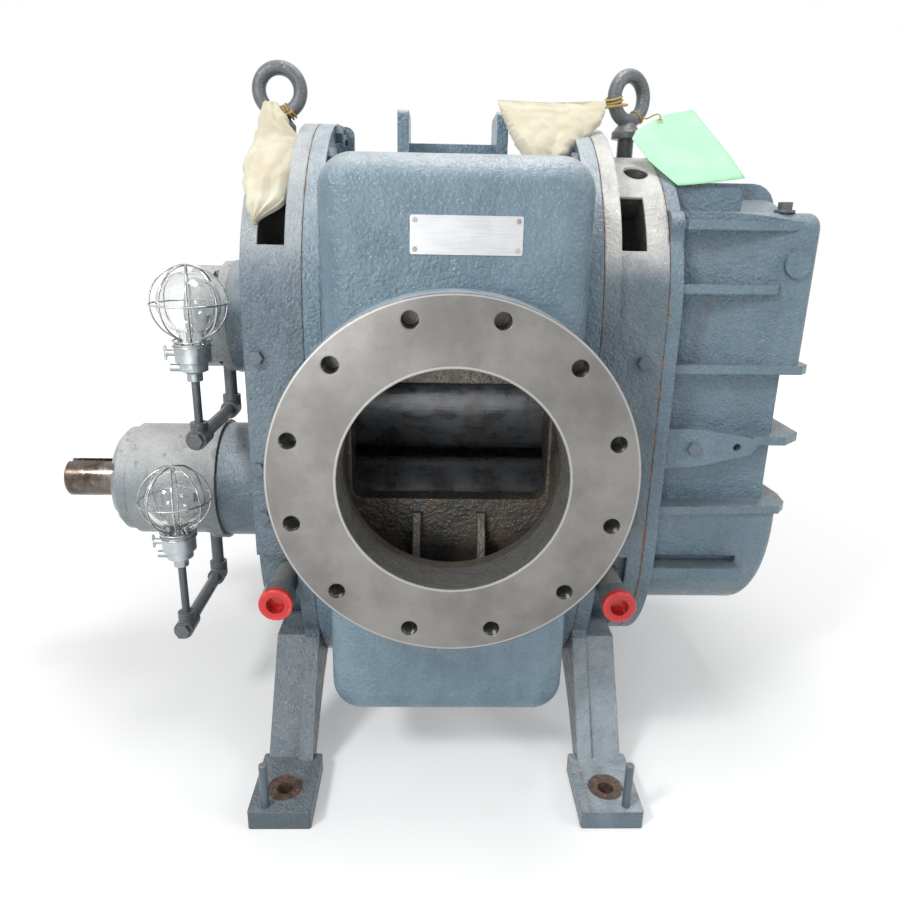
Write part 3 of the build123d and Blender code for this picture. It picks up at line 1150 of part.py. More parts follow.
    # cavity: deep around each gear, short at the waist
    plane, length = between(CASE_X, WAIST_END - CASE_WALL)
    with BuildSketch(plane):
        SlotCenterToCenter(GEAR_CENTRES, 2 * CASE_CAVITY_RADIUS, rotation=90)
    extrude(amount=length, mode=Mode.SUBTRACT)
    plane, length = between(CASE_X, CASE_INSIDE_END)
    with BuildSketch(plane):
        SlotCenterToCenter(GEAR_CENTRES, 2 * CASE_CAVITY_RADIUS, rotation=90)
        with Locations((0, (WAIST_TOP + WAIST_BOTTOM) / 2)):
            Rectangle(2 * CASE_RADIUS, WAIST_TOP - WAIST_BOTTOM + 2 * CASE_WALL, mode=Mode.SUBTRACT)
    extrude(amount=length, mode=Mode.SUBTRACT)
    drill(facing_x(CASE_FLANGE_X, 1), CASE_PLACES, CASE_SCREW, CASE_FLANGE_THICK)
    drill(pad_front, [(pad_x + 52.0, -18.0), (pad_x + 122.0, -15.0)], CASE_SCREW, 20.0)
    drill(Plane.XY.offset(CASE_SHOULDER), [FILL_PLACE], FILL_PLUG_RADIUS, FILL_PLUG_GRIP)
save(gear_case.part, "gear_case")

with BuildPart() as gear_case_gasket:
    plane, length = between(GEAR_HEAD_X, CASE_X)
    with BuildSketch(plane):
        SlotCenterToCenter(2 * END_RING_RISE, 2 * HEAD_BODY_RADIUS, rotation=90)
        SlotCenterToCenter(GEAR_CENTRES, 2 * CASE_CAVITY_RADIUS, rotation=90, mode=Mode.SUBTRACT)
        with Locations(*CASE_PLACES):
            Circle(CASE_SCREW, mode=Mode.SUBTRACT)
    extrude(amount=length)
save(gear_case_gasket.part, "gear_case_gasket")

with BuildPart() as gear_case_screws:
    grip = CASE_FLANGE_THICK + GASKET + CASE_GRIP
    hex_screws(facing_x(CASE_FLANGE_X, 1), CASE_PLACES, CASE_SCREW, CASE_HEX, grip)
    hex_screws(pad_front, [(pad_x + 52.0, -18.0)], CASE_SCREW, CASE_HEX, 20.0)
save(gear_case_screws.part, "gear_case_screws")

with BuildPart() as gear_case_fill_plug:
    boss(Plane.XY.offset(CASE_SHOULDER), [FILL_PLACE], FILL_PLUG_RADIUS + 6.0, 4.0)
    with BuildSketch(Plane.XY.offset(CASE_SHOULDER + 4.0)) as square:
        with Locations(FILL_PLACE):
            Rectangle(1.7 * FILL_PLUG_RADIUS, 1.7 * FILL_PLUG_RADIUS)
    extrude(square.sketch, amount=11.0)
    boss(Plane.XY.offset(CASE_SHOULDER), [FILL_PLACE], FILL_PLUG_RADIUS, -FILL_PLUG_GRIP)
save(gear_case_fill_plug.part, "gear_case_fill_plug")

# ---------------------------------------------------------------- drain pipes and caps
for name, side in (("drive_end", -1), ("gear_end", 1)):
    start = LOWER_BODY_RADIUS - PIPE_SOCKET + 8.0
    with BuildPart() as drain_pipe:
        with BuildSketch(FRONT.offset(start - FLANGE_REACH)):
            with Locations((side * PIPE_X, -PIPE_DROP)):
                Circle(PIPE_RADIUS)
                Circle(PIPE_RADIUS - PIPE_WALL, mode=Mode.SUBTRACT)
        extrude(amount=PIPE_REACH - start)
    save(drain_pipe.part, name + "_drain_pipe")
    with BuildPart() as pipe_cap:
        mouth = FRONT.offset(PIPE_REACH + PIPE_CAP_SKIN - FLANGE_REACH)
        place = [(side * PIPE_X, -PIPE_DROP)]
        boss(mouth, place, PIPE_CAP_RADIUS, -PIPE_CAP_LENGTH)
        fillet(pipe_cap.faces().sort_by(Axis.Y)[0].edges(), 2.0)
        with BuildSketch(mouth.offset(-PIPE_CAP_SKIN)):
            with Locations(place[0]):
                Circle(PIPE_RADIUS)
                Circle(PIPE_RADIUS - PIPE_WALL, mode=Mode.SUBTRACT)
        extrude(amount=-PIPE_CAP_LENGTH, mode=Mode.SUBTRACT)
        drill(mouth, place, PIPE_RADIUS - PIPE_WALL - PIPE_CAP_SKIN, PIPE_CAP_LENGTH / 2)
    save(pipe_cap.part, name + "_pipe_cap")

# ---------------------------------------------------------------- lifting eyes
with BuildPart() as eyebolts:
    for x, turned in ((-DRIVE_HEAD_X + EYE_INSET, 0.0), (GEAR_HEAD_X - EYE_INSET, EYE_TURN)):
        along = (cos(radians(turned)), sin(radians(turned)), 0)
        normal = (-along[1], along[0], 0)
        centre = (x, FLANGE_REACH, EYE_CENTRE)
        with BuildSketch(Plane(origin=centre, x_dir=(0, 0, 1), z_dir=along)) as wire:
            with Locations((EYE_RING_RADIUS, 0)):
                Circle(EYE_WIRE_RADIUS)
        revolve(wire.sketch, axis=Axis(centre, normal))
        boss(Plane.XY.offset(EYE_COLLAR), [(x, FLANGE_REACH)], EYE_COLLAR_RADIUS, 10.0)
        with BuildSketch(Plane.XY.offset(EYE_COLLAR + 10.0)) as neck:
            with Locations((x, FLANGE_REACH)):
                Circle(EYE_COLLAR_RADIUS)
        extrude(neck.sketch, amount=EYE_CENTRE - EYE_RING_RADIUS - EYE_COLLAR - 10.0, taper=40.0)
        boss(Plane.XY.offset(EYE_COLLAR), [(x, FLANGE_REACH)], EYE_SHANK_RADIUS,
             HEAD_TOP - EYE_DEPTH - EYE_COLLAR)
save(eyebolts.part, "eyebolts")

# ---------------------------------------------------------------- nameplate
with BuildPart() as nameplate:
    with BuildSketch(PLATE_FACE):
        with Locations((PLATE_X, PLATE_Z)):
            RectangleRounded(PLATE_WIDTH, PLATE_HEIGHT, 3.0)
        with Locations(*PLATE_SCREW_PLACES):
            Circle(PLATE_SCREW, mode=Mode.SUBTRACT)
    extrude(amount=PLATE_THICK)
save(nameplate.part, "nameplate")

with BuildPart() as nameplate_screws:
    boss(PLATE_FACE, PLATE_SCREW_PLACES, PLATE_SCREW, -PLATE_SCREW_GRIP)
    boss(PLATE_FACE, PLATE_SCREW_PLACES, PLATE_SCREW, PLATE_THICK)
    boss(PLATE_FACE.offset(PLATE_THICK), PLATE_SCREW_PLACES, 2 * PLATE_SCREW, 1.4)
save(nameplate_screws.part, "nameplate_screws")

# ---------------------------------------------------------------- oilers
def oiler(name, x, tee, socket, feed_top):
    """One constant-level oiler: piping, socket, glass bowl and wire guard."""
    y = FLANGE_REACH - OILER_REACH
    socket_top = socket + SOCKET_HEIGHT
    bowl = socket_top + BOWL_RISE
    upright_section = Plane(origin=(x, y, 0), x_dir=(1, 0, 0), z_dir=(0, -1, 0))
    stem_axis = Axis((x, y, 0), (0, 0, 1))
    along = FRONT.offset(-FLANGE_REACH)

    with BuildPart() as piping:
        # feed pipe up into the bearing housing, elbow, nipple, tee and its plug, and the stem
        boss(Plane.XY.offset(tee), [(x, FLANGE_REACH)], NIPPLE_RADIUS, feed_top + NIPPLE_SOCKET - tee)
        boss(Plane.XY.offset(tee), [(x, FLANGE_REACH)], FITTING_RADIUS, 24.0)
        with Locations((x, FLANGE_REACH, tee)):
            Sphere(FITTING_RADIUS)
        boss(along, [(x, tee)], FITTING_RADIUS, 24.0)
        boss(along, [(x, tee)], NIPPLE_RADIUS, OILER_REACH)
        boss(along.offset(OILER_REACH - 20.0), [(x, tee)], FITTING_RADIUS, 42.0)
        with BuildSketch(along.offset(OILER_REACH + 22.0)) as plug:
            with Locations((x, tee)):
                RegularPolygon(FITTING_RADIUS - 3.0, 6)
        extrude(plug.sketch, amount=8.0)
        boss(Plane.XY.offset(tee), [(x, y)], FITTING_RADIUS - 2.0, 24.0)
        boss(Plane.XY.offset(tee), [(x, y)], STEM_RADIUS, socket - tee)
    save(piping.part, name + "_oiler_piping")

    with BuildPart() as base:
        with BuildSketch(upright_section) as section:
            with BuildLine():
                Polyline(
                    (0, socket),
                    (SOCKET_RADIUS - 15.0, socket),
                    (SOCKET_RADIUS - 15.0, socket + 12.0),
                    (SOCKET_RADIUS - 6.0, socket + 16.0),
                    (SOCKET_RADIUS - 6.0, socket + 28.0),
                    (SOCKET_RADIUS, socket + 30.0),
                    (SOCKET_RADIUS, socket_top),
                    (BOWL_NECK, socket_top),
                    (BOWL_NECK, socket_top - NECK_SEAT),
                    (0, socket_top - NECK_SEAT),
                    close=True,
                )
            make_face()
        revolve(section.sketch, axis=stem_axis)
        # clamp screws beside the rim
        flank = Plane(origin=(x - SOCKET_RADIUS + 4.0, y, 0), x_dir=(0, -1, 0), z_dir=(-1, 0, 0))
        boss(flank, [(0, socket_top - 15.0)], 5.0, 17.0)
        boss(flank.offset(-6.0), [(0, socket_top - 38.0)], 6.0, 19.0)
    save(base.part, name + "_oiler_socket")

    with BuildPart() as glass:
        # a thin-walled globe on a neck
        outer_low = sqrt(BOWL_RADIUS**2 - BOWL_NECK**2)
        inner = BOWL_RADIUS - BOWL_WALL
        inner_neck = BOWL_NECK - BOWL_WALL
        inner_low = sqrt(inner**2 - inner_neck**2)
        with BuildSketch(upright_section) as section:
            with BuildLine():
                ThreePointArc((BOWL_NECK, bowl - outer_low), (BOWL_RADIUS, bowl), (0, bowl + BOWL_RADIUS))
                Line((0, bowl + BOWL_RADIUS), (0, bowl + inner))
                ThreePointArc((0, bowl + inner), (inner, bowl), (inner_neck, bowl - inner_low))
                Polyline(
                    (inner_neck, bowl - inner_low),
                    (inner_neck, socket_top - NECK_SEAT),
                    (BOWL_NECK, socket_top - NECK_SEAT),
                    (BOWL_NECK, bowl - outer_low),
                )
            make_face()
        revolve(section.sketch, axis=stem_axis)
    save(glass.part, name + "_oiler_bowl")

    with BuildPart() as guard:
        # hoops of square wire, opened at the foot, with a belt and a foot band
        for turned in range(GUARD_HOOPS):
            direction = (cos(pi * turned / GUARD_HOOPS), sin(pi * turned / GUARD_HOOPS), 0)
            normal = (-direction[1], direction[0], 0)
            with BuildSketch(Plane(origin=(x, y, bowl), x_dir=direction, z_dir=normal)) as hoop:
                RegularPolygon(GUARD_RADIUS + GUARD_WIRE, GUARD_SIDES, rotation=180.0 / GUARD_SIDES)
                RegularPolygon(GUARD_RADIUS - GUARD_WIRE, GUARD_SIDES, rotation=180.0 / GUARD_SIDES,
                               mode=Mode.SUBTRACT)
            extrude(hoop.sketch, amount=GUARD_WIRE, both=True)
        with BuildSketch(Plane(origin=(x, y, bowl))) as belt:
            RegularPolygon(GUARD_RADIUS + GUARD_WIRE, GUARD_SIDES)
            RegularPolygon(GUARD_RADIUS - GUARD_WIRE, GUARD_SIDES, mode=Mode.SUBTRACT)
        extrude(belt.sketch, amount=GUARD_WIRE, both=True)
        boss(Plane.XY.offset(bowl - GUARD_RADIUS - 4.0), [(x, y)], SOCKET_RADIUS, GUARD_FOOT, Mode.SUBTRACT)
        with BuildSketch(Plane(origin=(x, y, socket_top - 8.0))) as band:
            Circle(SOCKET_RADIUS + 2.0)
            Circle(SOCKET_RADIUS, mode=Mode.SUBTRACT)
        extrude(band.sketch, amount=bowl - GUARD_RADIUS - 4.0 + GUARD_FOOT - socket_top + 8.0)
    save(guard.part, name + "_oiler_guard")


oiler("drive", DRIVE_OILER_X, DRIVE_OILER_TEE, DRIVE_OILER_SOCKET, DRIVE_AXIS[1] - HOUSING_RADIUS)
oiler("driven", DRIVEN_OILER_X, DRIVEN_OILER_TEE, DRIVEN_OILER_SOCKET, DRIVEN_AXIS[1] - CAP_RADIUS)

# ---------------------------------------------------------------- shipping bags and tag
with BuildPart() as drive_end_bag:
    # draped over the headplate's crown in front of its eyebolt, with a tongue up to the eye
    inside = HEAD_BODY_RADIUS + BAG_INSIDE
    plane, length = between(-DRIVE_HEAD_X + 2.0, -JOINT_X - HEAD_RING_THICK - 4.0)
    with BuildSketch(plane):
        with BuildLine():
            low, high = (180.0 - BAG_FROM, 180.0 - BAG_TO)
            outside = inside + BAG_THICK
            CenterArc((0, END_RING_RISE), inside, low, high - low)
            CenterArc((0, END_RING_RISE), outside, low, high - low)
            for a in (low, high):
                Line(
                    (inside * cos(radians(a)), END_RING_RISE + inside * sin(radians(a))),
                    (outside * cos(radians(a)), END_RING_RISE + outside * sin(radians(a))),
                )
        make_face()
    extrude(amount=length)
    plane, length = between(-DRIVE_HEAD_X + 8.0, -DRIVE_HEAD_X + 52.0)
    with BuildSketch(plane):
        with BuildLine():
            Polyline(
                (-EYE_COLLAR_RADIUS - 20.0, HEAD_TOP + 6.0),
                (-EYE_COLLAR_RADIUS - 3.0, HEAD_TOP + 8.0),
                (-EYE_COLLAR_RADIUS - 3.0, EYE_CENTRE - 14.0),
                (-EYE_COLLAR_RADIUS - 16.0, EYE_CENTRE - 14.0),
                close=True,
            )
        make_face()
    extrude(amount=length)
save(drive_end_bag.part, "drive_end_bag")

with BuildPart() as gear_end_bag:
    # slumped on the casing's crown, with its neck drawn up to the gear-end eyebolt
    lean = Plane(
        origin=(0, FLANGE_REACH - BAG_FOOT_Y, PLENUM_HALF_HEIGHT + 0.3),
        x_dir=(1, 0, 0),
        z_dir=(0, -cos(radians(BAG_LEAN)), sin(radians(BAG_LEAN))),
    )
    with BuildSketch(lean) as slump:
        with BuildLine():
            Polyline(
                (TOP_RIB_X - 8.0, 112.0),
                (TOP_RIB_X + 40.0, 103.0),
                (TOP_RIB_X + 90.0, 96.0),
                (JOINT_X + 28.0, 110.0),
                (JOINT_X + 24.0, 86.0),
                (CASING_HALF - END_RING_THICK - 3.0, 64.0),
                (CASING_HALF - END_RING_THICK - 9.0, 0),
                (TOP_RIB_X + 28.0, 0),
                (TOP_RIB_X + 4.0, 50.0),
                close=True,
            )
        make_face()
    extrude(slump.sketch, amount=BAG_THICK)
save(gear_end_bag.part, "gear_end_bag")
GEAR_BAG_NECK = tuple(lean.from_local_coords((JOINT_X + 20.0, 104.0, -TIE_RADIUS)))

with BuildPart() as hang_tag:
    # leans from the gear-end eyebolt's foot down to the gear case's crown rib
    card = Plane(
        origin=(TAG_X, FLANGE_REACH - CROWN_RIB_Y - CROWN_RIB_THICK / 2, CROWN_RIB_RISE + 12.0),
        x_dir=(1, 0, 0),
        z_dir=(0, -sin(radians(TAG_SLOPE)), cos(radians(TAG_SLOPE))),
    )
    with BuildSketch(card) as outline:
        with BuildLine():
            Polyline(
                (-0.2 * TAG_WIDTH, -0.11 * TAG_HEIGHT),
                (0.8 * TAG_WIDTH, -0.02 * TAG_HEIGHT),
                (0.3 * TAG_WIDTH, TAG_HEIGHT),
                (-0.2 * TAG_WIDTH, 0.9 * TAG_HEIGHT),
                (-0.66 * TAG_WIDTH, 0.66 * TAG_HEIGHT),
                (-0.75 * TAG_WIDTH, 0.53 * TAG_HEIGHT),
                (-0.56 * TAG_WIDTH, 0.22 * TAG_HEIGHT),
                close=True,
            )
        make_face()
        with Locations((-0.26 * TAG_WIDTH, 0.81 * TAG_HEIGHT)):
            Circle(2 * STRING_RADIUS, mode=Mode.SUBTRACT)
    extrude(outline.sketch, amount=TAG_THICK)
save(hang_tag.part, "hang_tag")

# ---------------------------------------------------------------- strings
def rod(start, stop, radius):
    """A round rod between two points, with a ball at its far end."""
    run = Vector(*stop) - Vector(*start)
    with BuildSketch(Plane(origin=start, z_dir=run)) as section:
        Circle(radius)
    extrude(section.sketch, amount=run.length)
    with Locations(stop):
        Sphere(radius)


def eye_loop(x, turned, at, radius):
    """A loop of string around an eyebolt's wire; returns the place where it passes the front."""
    along = (cos(radians(turned)), sin(radians(turned)))
    reach, rise = EYE_RING_RADIUS * cos(radians(at)), EYE_RING_RADIUS * sin(radians(at))
    centre = (x + reach * along[0], FLANGE_REACH + reach * along[1], EYE_CENTRE + rise)
    tangent = (-sin(radians(at)) * along[0], -sin(radians(at)) * along[1], cos(radians(at)))
    outward = (cos(radians(at)) * along[0], cos(radians(at)) * along[1], sin(radians(at)))
    with BuildSketch(Plane(origin=centre, x_dir=outward, z_dir=Vector(*outward).cross(Vector(*tangent)))) as wire:
        with Locations((EYE_WIRE_RADIUS + radius, 0)):
            Circle(radius)
    revolve(wire.sketch, axis=Axis(centre, tangent))
    front = EYE_WIRE_RADIUS + radius
    return (centre[0] + front * along[1], centre[1] - front * along[0], centre[2])


DRIVE_EYE_X = -DRIVE_HEAD_X + EYE_INSET
GEAR_EYE_X = GEAR_HEAD_X - EYE_INSET
eyelet = card.from_local_coords((-0.26 * TAG_WIDTH, 0.81 * TAG_HEIGHT, 0))
with BuildPart() as tag_string:
    loop = eye_loop(GEAR_EYE_X, EYE_TURN, -50.0, STRING_RADIUS)
    below = eyelet - card.z_dir * 4.0
    above = eyelet + card.z_dir * 8.0
    rod(tuple(below), tuple(above), STRING_RADIUS)
    rod(tuple(above), loop, STRING_RADIUS)
save(tag_string.part, "tag_string")

with BuildPart() as bag_ties:
    loop = eye_loop(DRIVE_EYE_X, 0, -38.0, TIE_RADIUS)
    neck_face = FLANGE_REACH - EYE_COLLAR_RADIUS - 3.0 + TIE_RADIUS
    rod(loop, (-DRIVE_HEAD_X + 46.0, neck_face, EYE_CENTRE - 24.0), TIE_RADIUS)
    loop = eye_loop(GEAR_EYE_X, EYE_TURN, 203.0, TIE_RADIUS)
    rod(loop, GEAR_BAG_NECK, TIE_RADIUS)
save(bag_ties.part, "bag_ties")
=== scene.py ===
import json
from math import asin, cos, pi, radians, sin

import bpy
from mathutils import Matrix, Vector, noise

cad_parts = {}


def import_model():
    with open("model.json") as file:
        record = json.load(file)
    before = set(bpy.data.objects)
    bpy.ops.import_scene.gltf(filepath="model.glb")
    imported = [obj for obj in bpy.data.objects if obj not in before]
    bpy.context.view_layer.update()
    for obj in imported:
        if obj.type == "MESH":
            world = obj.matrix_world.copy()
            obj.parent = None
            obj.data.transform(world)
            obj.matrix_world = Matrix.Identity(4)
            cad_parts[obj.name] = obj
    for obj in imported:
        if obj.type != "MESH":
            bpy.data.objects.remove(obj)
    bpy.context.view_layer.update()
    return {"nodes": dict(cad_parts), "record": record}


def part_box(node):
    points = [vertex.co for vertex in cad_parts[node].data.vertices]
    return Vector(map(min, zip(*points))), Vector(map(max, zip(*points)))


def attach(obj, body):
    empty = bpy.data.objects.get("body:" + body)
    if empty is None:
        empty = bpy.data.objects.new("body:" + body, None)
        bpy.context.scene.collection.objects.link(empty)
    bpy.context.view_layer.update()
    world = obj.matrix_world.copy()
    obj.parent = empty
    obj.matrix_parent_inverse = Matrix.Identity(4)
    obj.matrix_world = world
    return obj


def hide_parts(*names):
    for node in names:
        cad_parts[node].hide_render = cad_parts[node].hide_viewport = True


# Looks of the roots vacuum pump. Metres, in the CAD's frame: the shafts run along X, the inlet
# faces -Y, and the shaft plane stands at y = SHAFT_PLANE.

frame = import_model()
NODES = frame["nodes"]
BODY = "pump_body"

# ---------------------------------------------------------------- places taken from the CAD
SHAFT_PLANE = 0.440
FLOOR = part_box("drive_headplate")[0].z
SHAFT_RISE = 0.1524           # each shaft above or below the flange centre
FLANGE_RADIUS = 0.2413
BORE_RADIUS = 0.1495
BOLT_RADIUS = 0.2159
HOLE_FLOOR = 0.398            # shaft plane to just above the tapped holes' floor
FLANGE_BACK = 0.3760          # shaft plane to just inside the flange's back
CAVITY_X = 0.1555             # the plenum's inner walls, each way from the flange centre
CAVITY_Z = 0.3825
CAVITY_DEPTH = 0.3585         # shaft plane to the plenum's front wall
ROTOR_BORE = 0.2310           # just inside the rotor bores' wall
WALL_EASE = 0.0015            # over which a wall's colour gives way to the next
HOLE_REACH = 0.0125           # half the width of the band that holds the tapped holes
JOINT_X = 0.211               # headplate joints, on both sides
GEAR_JOINT_X = 0.3165
CROWN_RADIUS = 0.242          # headplate's round, about CROWN_RISE
CROWN_RISE = 0.186
HEAD_HOLLOW_X = 0.2345        # the headplates' hollow starts here, on both sides
DRIVE_WALL_X = -0.3060        # and ends at each outer wall
GEAR_WALL_X = 0.3150
HEAD_SILL = -0.190            # foot of the hollow that shows
ANCHOR_X = 0.244              # anchor holes in the feet, from the flange centre and the shaft plane
ANCHOR_Y = 0.410
SPOTFACE = (0.024, 0.029)     # radii between which a spotface's rust gives out
PAD_TOP = -0.499
CAP_LOW, CAP_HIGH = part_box("drive_end_pipe_cap")
CAP_FRONT = CAP_LOW.y
CAP_RIM = 0.0080              # length of a pipe cap's rim
CAP_SHADED_FACE_RADIUS = 0.0205           # radius of the cap face painted a deeper red as recess shade
PIPE_X = abs(CAP_LOW.x + CAP_HIGH.x) / 2
PIPE_Z = (CAP_LOW.z + CAP_HIGH.z) / 2
EYE_CENTRE = 0.519
DRIVE_EYE_X = -0.282
GEAR_EYE_X = 0.291
EYE_TURN = radians(33.0)
EYE_RING = 0.03375
EYE_WIRE = 0.01125
OILERS = {"drive": (-0.446, 0.245, -0.120), "driven": (-0.396, 0.245, 0.196)}
SOCKET_TOP_DROP = 0.060       # bowl centre over the socket's rim
SOCKET_LAP = 0.006            # how far the globe reaches into the socket, or the wires fall short
BOWL_RADIUS = 0.047
BOWL_NECK = 0.018
GUARD_RADIUS = 0.056
GUARD_WIRE = 0.0014
BAND_RADIUS = 0.0285          # the socket's band, where the wires end
BAND_DROP = 0.004

# pitches of the fine patterns
TURNING_PITCH = 0.0026
THREAD_PITCH = 0.0036
WEAVE_PITCH = 0.0011
RULE_PITCH = 0.0062
LAY_PITCH = 0.0022


# ---------------------------------------------------------------- materials
class Finish:
    """One procedural material. Each method adds a node and returns its output socket."""

    def __init__(self, name, **sockets):
        self.material = bpy.data.materials.new(name)
        self.material.use_nodes = True
        self.tree = self.material.node_tree
        self.shader = self.tree.nodes["Principled BSDF"]
        for socket, value in sockets.items():
            self.shader.inputs[socket.replace("_", " ")].default_value = value
        self.place = self.add("ShaderNodeTexCoord").outputs["Object"]
        self.normal = self.add("ShaderNodeNewGeometry").outputs["Normal"]
        self.x, self.y, self.z = self.split(self.place)

    def add(self, kind, **settings):
        """A new node with its settings."""
        made = self.tree.nodes.new(kind)
        for key, value in settings.items():
            setattr(made, key, value)
        return made

    def link(self, value, socket):
        """Feed a socket from another socket, or set it to a number or colour."""
        if isinstance(value, bpy.types.NodeSocket):
            self.tree.links.new(value, socket)
        else:
            socket.default_value = value

    def set(self, name, value):
        """Feed one of the shader's inputs."""
        self.link(value, self.shader.inputs[name])

    def split(self, vector):
        return self.add_linked("ShaderNodeSeparateXYZ", [vector]).outputs

    def add_linked(self, kind, values, **settings):
        """A new node, its first inputs fed in order."""
        made = self.add(kind, **settings)
        for value, socket in zip(values, made.inputs):
            self.link(value, socket)
        return made

    def maths(self, operation, *values):
        return self.add_linked("ShaderNodeMath", values, operation=operation).outputs[0]

    def noise(self, scale, detail=4.0, roughness=0.6, stretch=(1, 1, 1)):
        """Fractal noise from 0 to 1 over the object's own coordinates."""
        made = self.add("ShaderNodeTexNoise")
        self.link(self.stretched(stretch), made.inputs["Vector"])
        made.inputs["Scale"].default_value = scale
        made.inputs["Detail"].default_value = detail
        made.inputs["Roughness"].default_value = roughness
        return made.outputs["Fac"]

    def cells(self, scale):
        """Distance to the nearest of scattered points."""
        made = self.add("ShaderNodeTexVoronoi")
        self.link(self.place, made.inputs["Vector"])
        made.inputs["Scale"].default_value = scale
        return made.outputs["Distance"]

    def stretched(self, stretch):
        """The object's own coordinates, scaled along each axis."""
        made = self.add("ShaderNodeMapping")
        self.link(self.place, made.inputs["Vector"])
        made.inputs["Scale"].default_value = stretch
        return made.outputs["Vector"]

    def span(self, value, low, high, at_low=0.0, at_high=1.0):
        """Map a range smoothly on to another."""
        made = self.add("ShaderNodeMapRange", interpolation_type="SMOOTHSTEP")
        self.link(value, made.inputs["Value"])
        made.inputs["From Min"].default_value = low
        made.inputs["From Max"].default_value = high
        made.inputs["To Min"].default_value = at_low
        made.inputs["To Max"].default_value = at_high
        return made.outputs["Result"]

    def mix(self, share, first, second):
        """Mix two colours."""
        made = self.add("ShaderNodeMix", data_type="RGBA")
        self.link(share, made.inputs["Factor"])
        self.link(first, made.inputs[6])
        self.link(second, made.inputs[7])
        return made.outputs[2]

    def blend(self, share, first, second):
        """Mix two numbers."""
        made = self.add("ShaderNodeMix", data_type="FLOAT")
        self.link(share, made.inputs["Factor"])
        self.link(first, made.inputs[2])
        self.link(second, made.inputs[3])
        return made.outputs[0]

    def both(self, first, second):
        return self.maths("MULTIPLY", first, second)

    def either(self, first, second):
        return self.maths("MAXIMUM", first, second)

    def inverse(self, value):
        return self.maths("SUBTRACT", 1.0, value)

    def near(self, value, centre, reach, soft):
        """1 within reach of a place along an axis, easing to 0 over soft."""
        away = self.maths("ABSOLUTE", self.maths("SUBTRACT", value, centre))
        return self.span(away, reach, reach + soft, 1.0, 0.0)

    def apart(self, first, second):
        """Length of a two-part offset."""
        squares = self.maths("ADD", self.both(first, first), self.both(second, second))
        return self.maths("SQRT", squares)

    def edges(self, radius):
        """1 along convex and concave edges, within the radius."""
        rounded = self.add("ShaderNodeBevel", samples=4)
        rounded.inputs["Radius"].default_value = radius
        agree = self.add_linked("ShaderNodeVectorMath", [rounded.outputs[0], self.normal],
                                operation="DOT_PRODUCT")
        return self.span(agree.outputs["Value"], 0.98, 0.75)

    def relief(self, *layers, edge_radius=0.0):
        """Bump the shader's normal by (height, depth in metres) layers, over rounded edges."""
        below = None
        if edge_radius:
            rounded = self.add("ShaderNodeBevel", samples=4)
            rounded.inputs["Radius"].default_value = edge_radius
            below = rounded.outputs[0]
        for height, depth in layers:
            bump = self.add("ShaderNodeBump")
            bump.inputs["Distance"].default_value = depth
            self.link(height, bump.inputs["Height"])
            if below is not None:
                self.link(below, bump.inputs["Normal"])
            below = bump.outputs[0]
        self.set("Normal", below)


def grey(value, warm=0.0):
    """A neutral colour, warmed a little."""
    return (value * (1 + warm), value, value * (1 - warm), 1.0)


RUST_DARK = (0.055, 0.026, 0.013, 1.0)
RUST_BROWN = (0.150, 0.072, 0.034, 1.0)
RUST_ORANGE = (0.210, 0.098, 0.048, 1.0)
BRIGHT_STEEL = (0.430, 0.420, 0.405, 1.0)


def hammered(f, grain):
    """The casting's swell and grain under its paint, over rounded edges."""
    f.relief((f.noise(60.0, 2.0, 0.5), 0.0024 * grain),
             (f.noise(230.0, 3.0, 0.60), 0.0030 * grain), edge_radius=0.0030)


def painted(name, deep, pale, dust_and_highlight, gloss=0.21):
    """Brushed enamel, paler on top from settled dust and painted highlight. Returns the finish, its
    colour and its roughness.
    """
    f = Finish(name, Metallic=0.0)
    mottle = f.span(f.noise(9.0, 5.0, 0.62), 0.32, 0.68)
    colour = f.mix(mottle, deep, pale)
    runs = f.span(f.noise(34.0, 3.0, 0.55, (1.0, 1.0, 0.16)), 0.45, 0.72)
    colour = f.mix(f.both(runs, 0.30), colour, [1.22 * c for c in pale[:3]] + [1.0])
    # painted highlight and settled dust: faces turned upward go towards a paler copy of the paint
    upward = f.span(f.split(f.normal)[2], 0.15, 0.95)
    dust_and_highlight_share = f.both(upward, f.span(f.noise(26.0, 4.0, 0.65), 0.30, 0.62, 0.55, 1.0))
    colour = f.mix(dust_and_highlight_share, colour, dust_and_highlight)
    pits = f.span(f.noise(420.0, 2.0, 0.5), 0.36, 0.27)
    colour = f.mix(f.both(pits, 0.55), colour, [0.35 * c for c in deep[:3]] + [1.0])
    rough = f.span(f.noise(60.0, 3.0, 0.6), 0.30, 0.70, gloss - 0.08, gloss + 0.12)
    rough = f.blend(dust_and_highlight_share, rough, 0.38)
    f.set("Specular IOR Level", 0.75)
    return f, colour, rough


def worn_edges(f, colour, chipped, share):
    """Paint rubbed thin on the edges, in patches."""
    patches = f.span(f.noise(48.0, 4.0, 0.7), 0.50, 0.66)
    return f.mix(f.both(f.both(f.edges(0.0022), patches), share), colour, chipped)


def joint_rust(f, colour):
    """Orange stains that creep out of the headplate and gear case joints."""
    across = f.maths("ABSOLUTE", f.x)
    seams = f.either(f.both(f.near(across, JOINT_X, 0.0012, 0.0022), 0.5),
                     f.near(f.x, GEAR_JOINT_X, 0.0018, 0.0034))
    patches = f.span(f.noise(22.0, 4.0, 0.7), 0.42, 0.70)
    return f.mix(f.both(seams, patches), colour, RUST_ORANGE)


PAINT_DEEP = (0.088, 0.158, 0.210, 1.0)
PAINT_PALE = (0.150, 0.232, 0.290, 1.0)
# paler top colour: settled dust and painted highlight
PAINT_DUST_AND_HIGHLIGHT = (0.430, 0.475, 0.510, 1.0)
HEAD_DEEP = (0.082, 0.128, 0.162, 1.0)
HEAD_PALE = (0.140, 0.196, 0.238, 1.0)


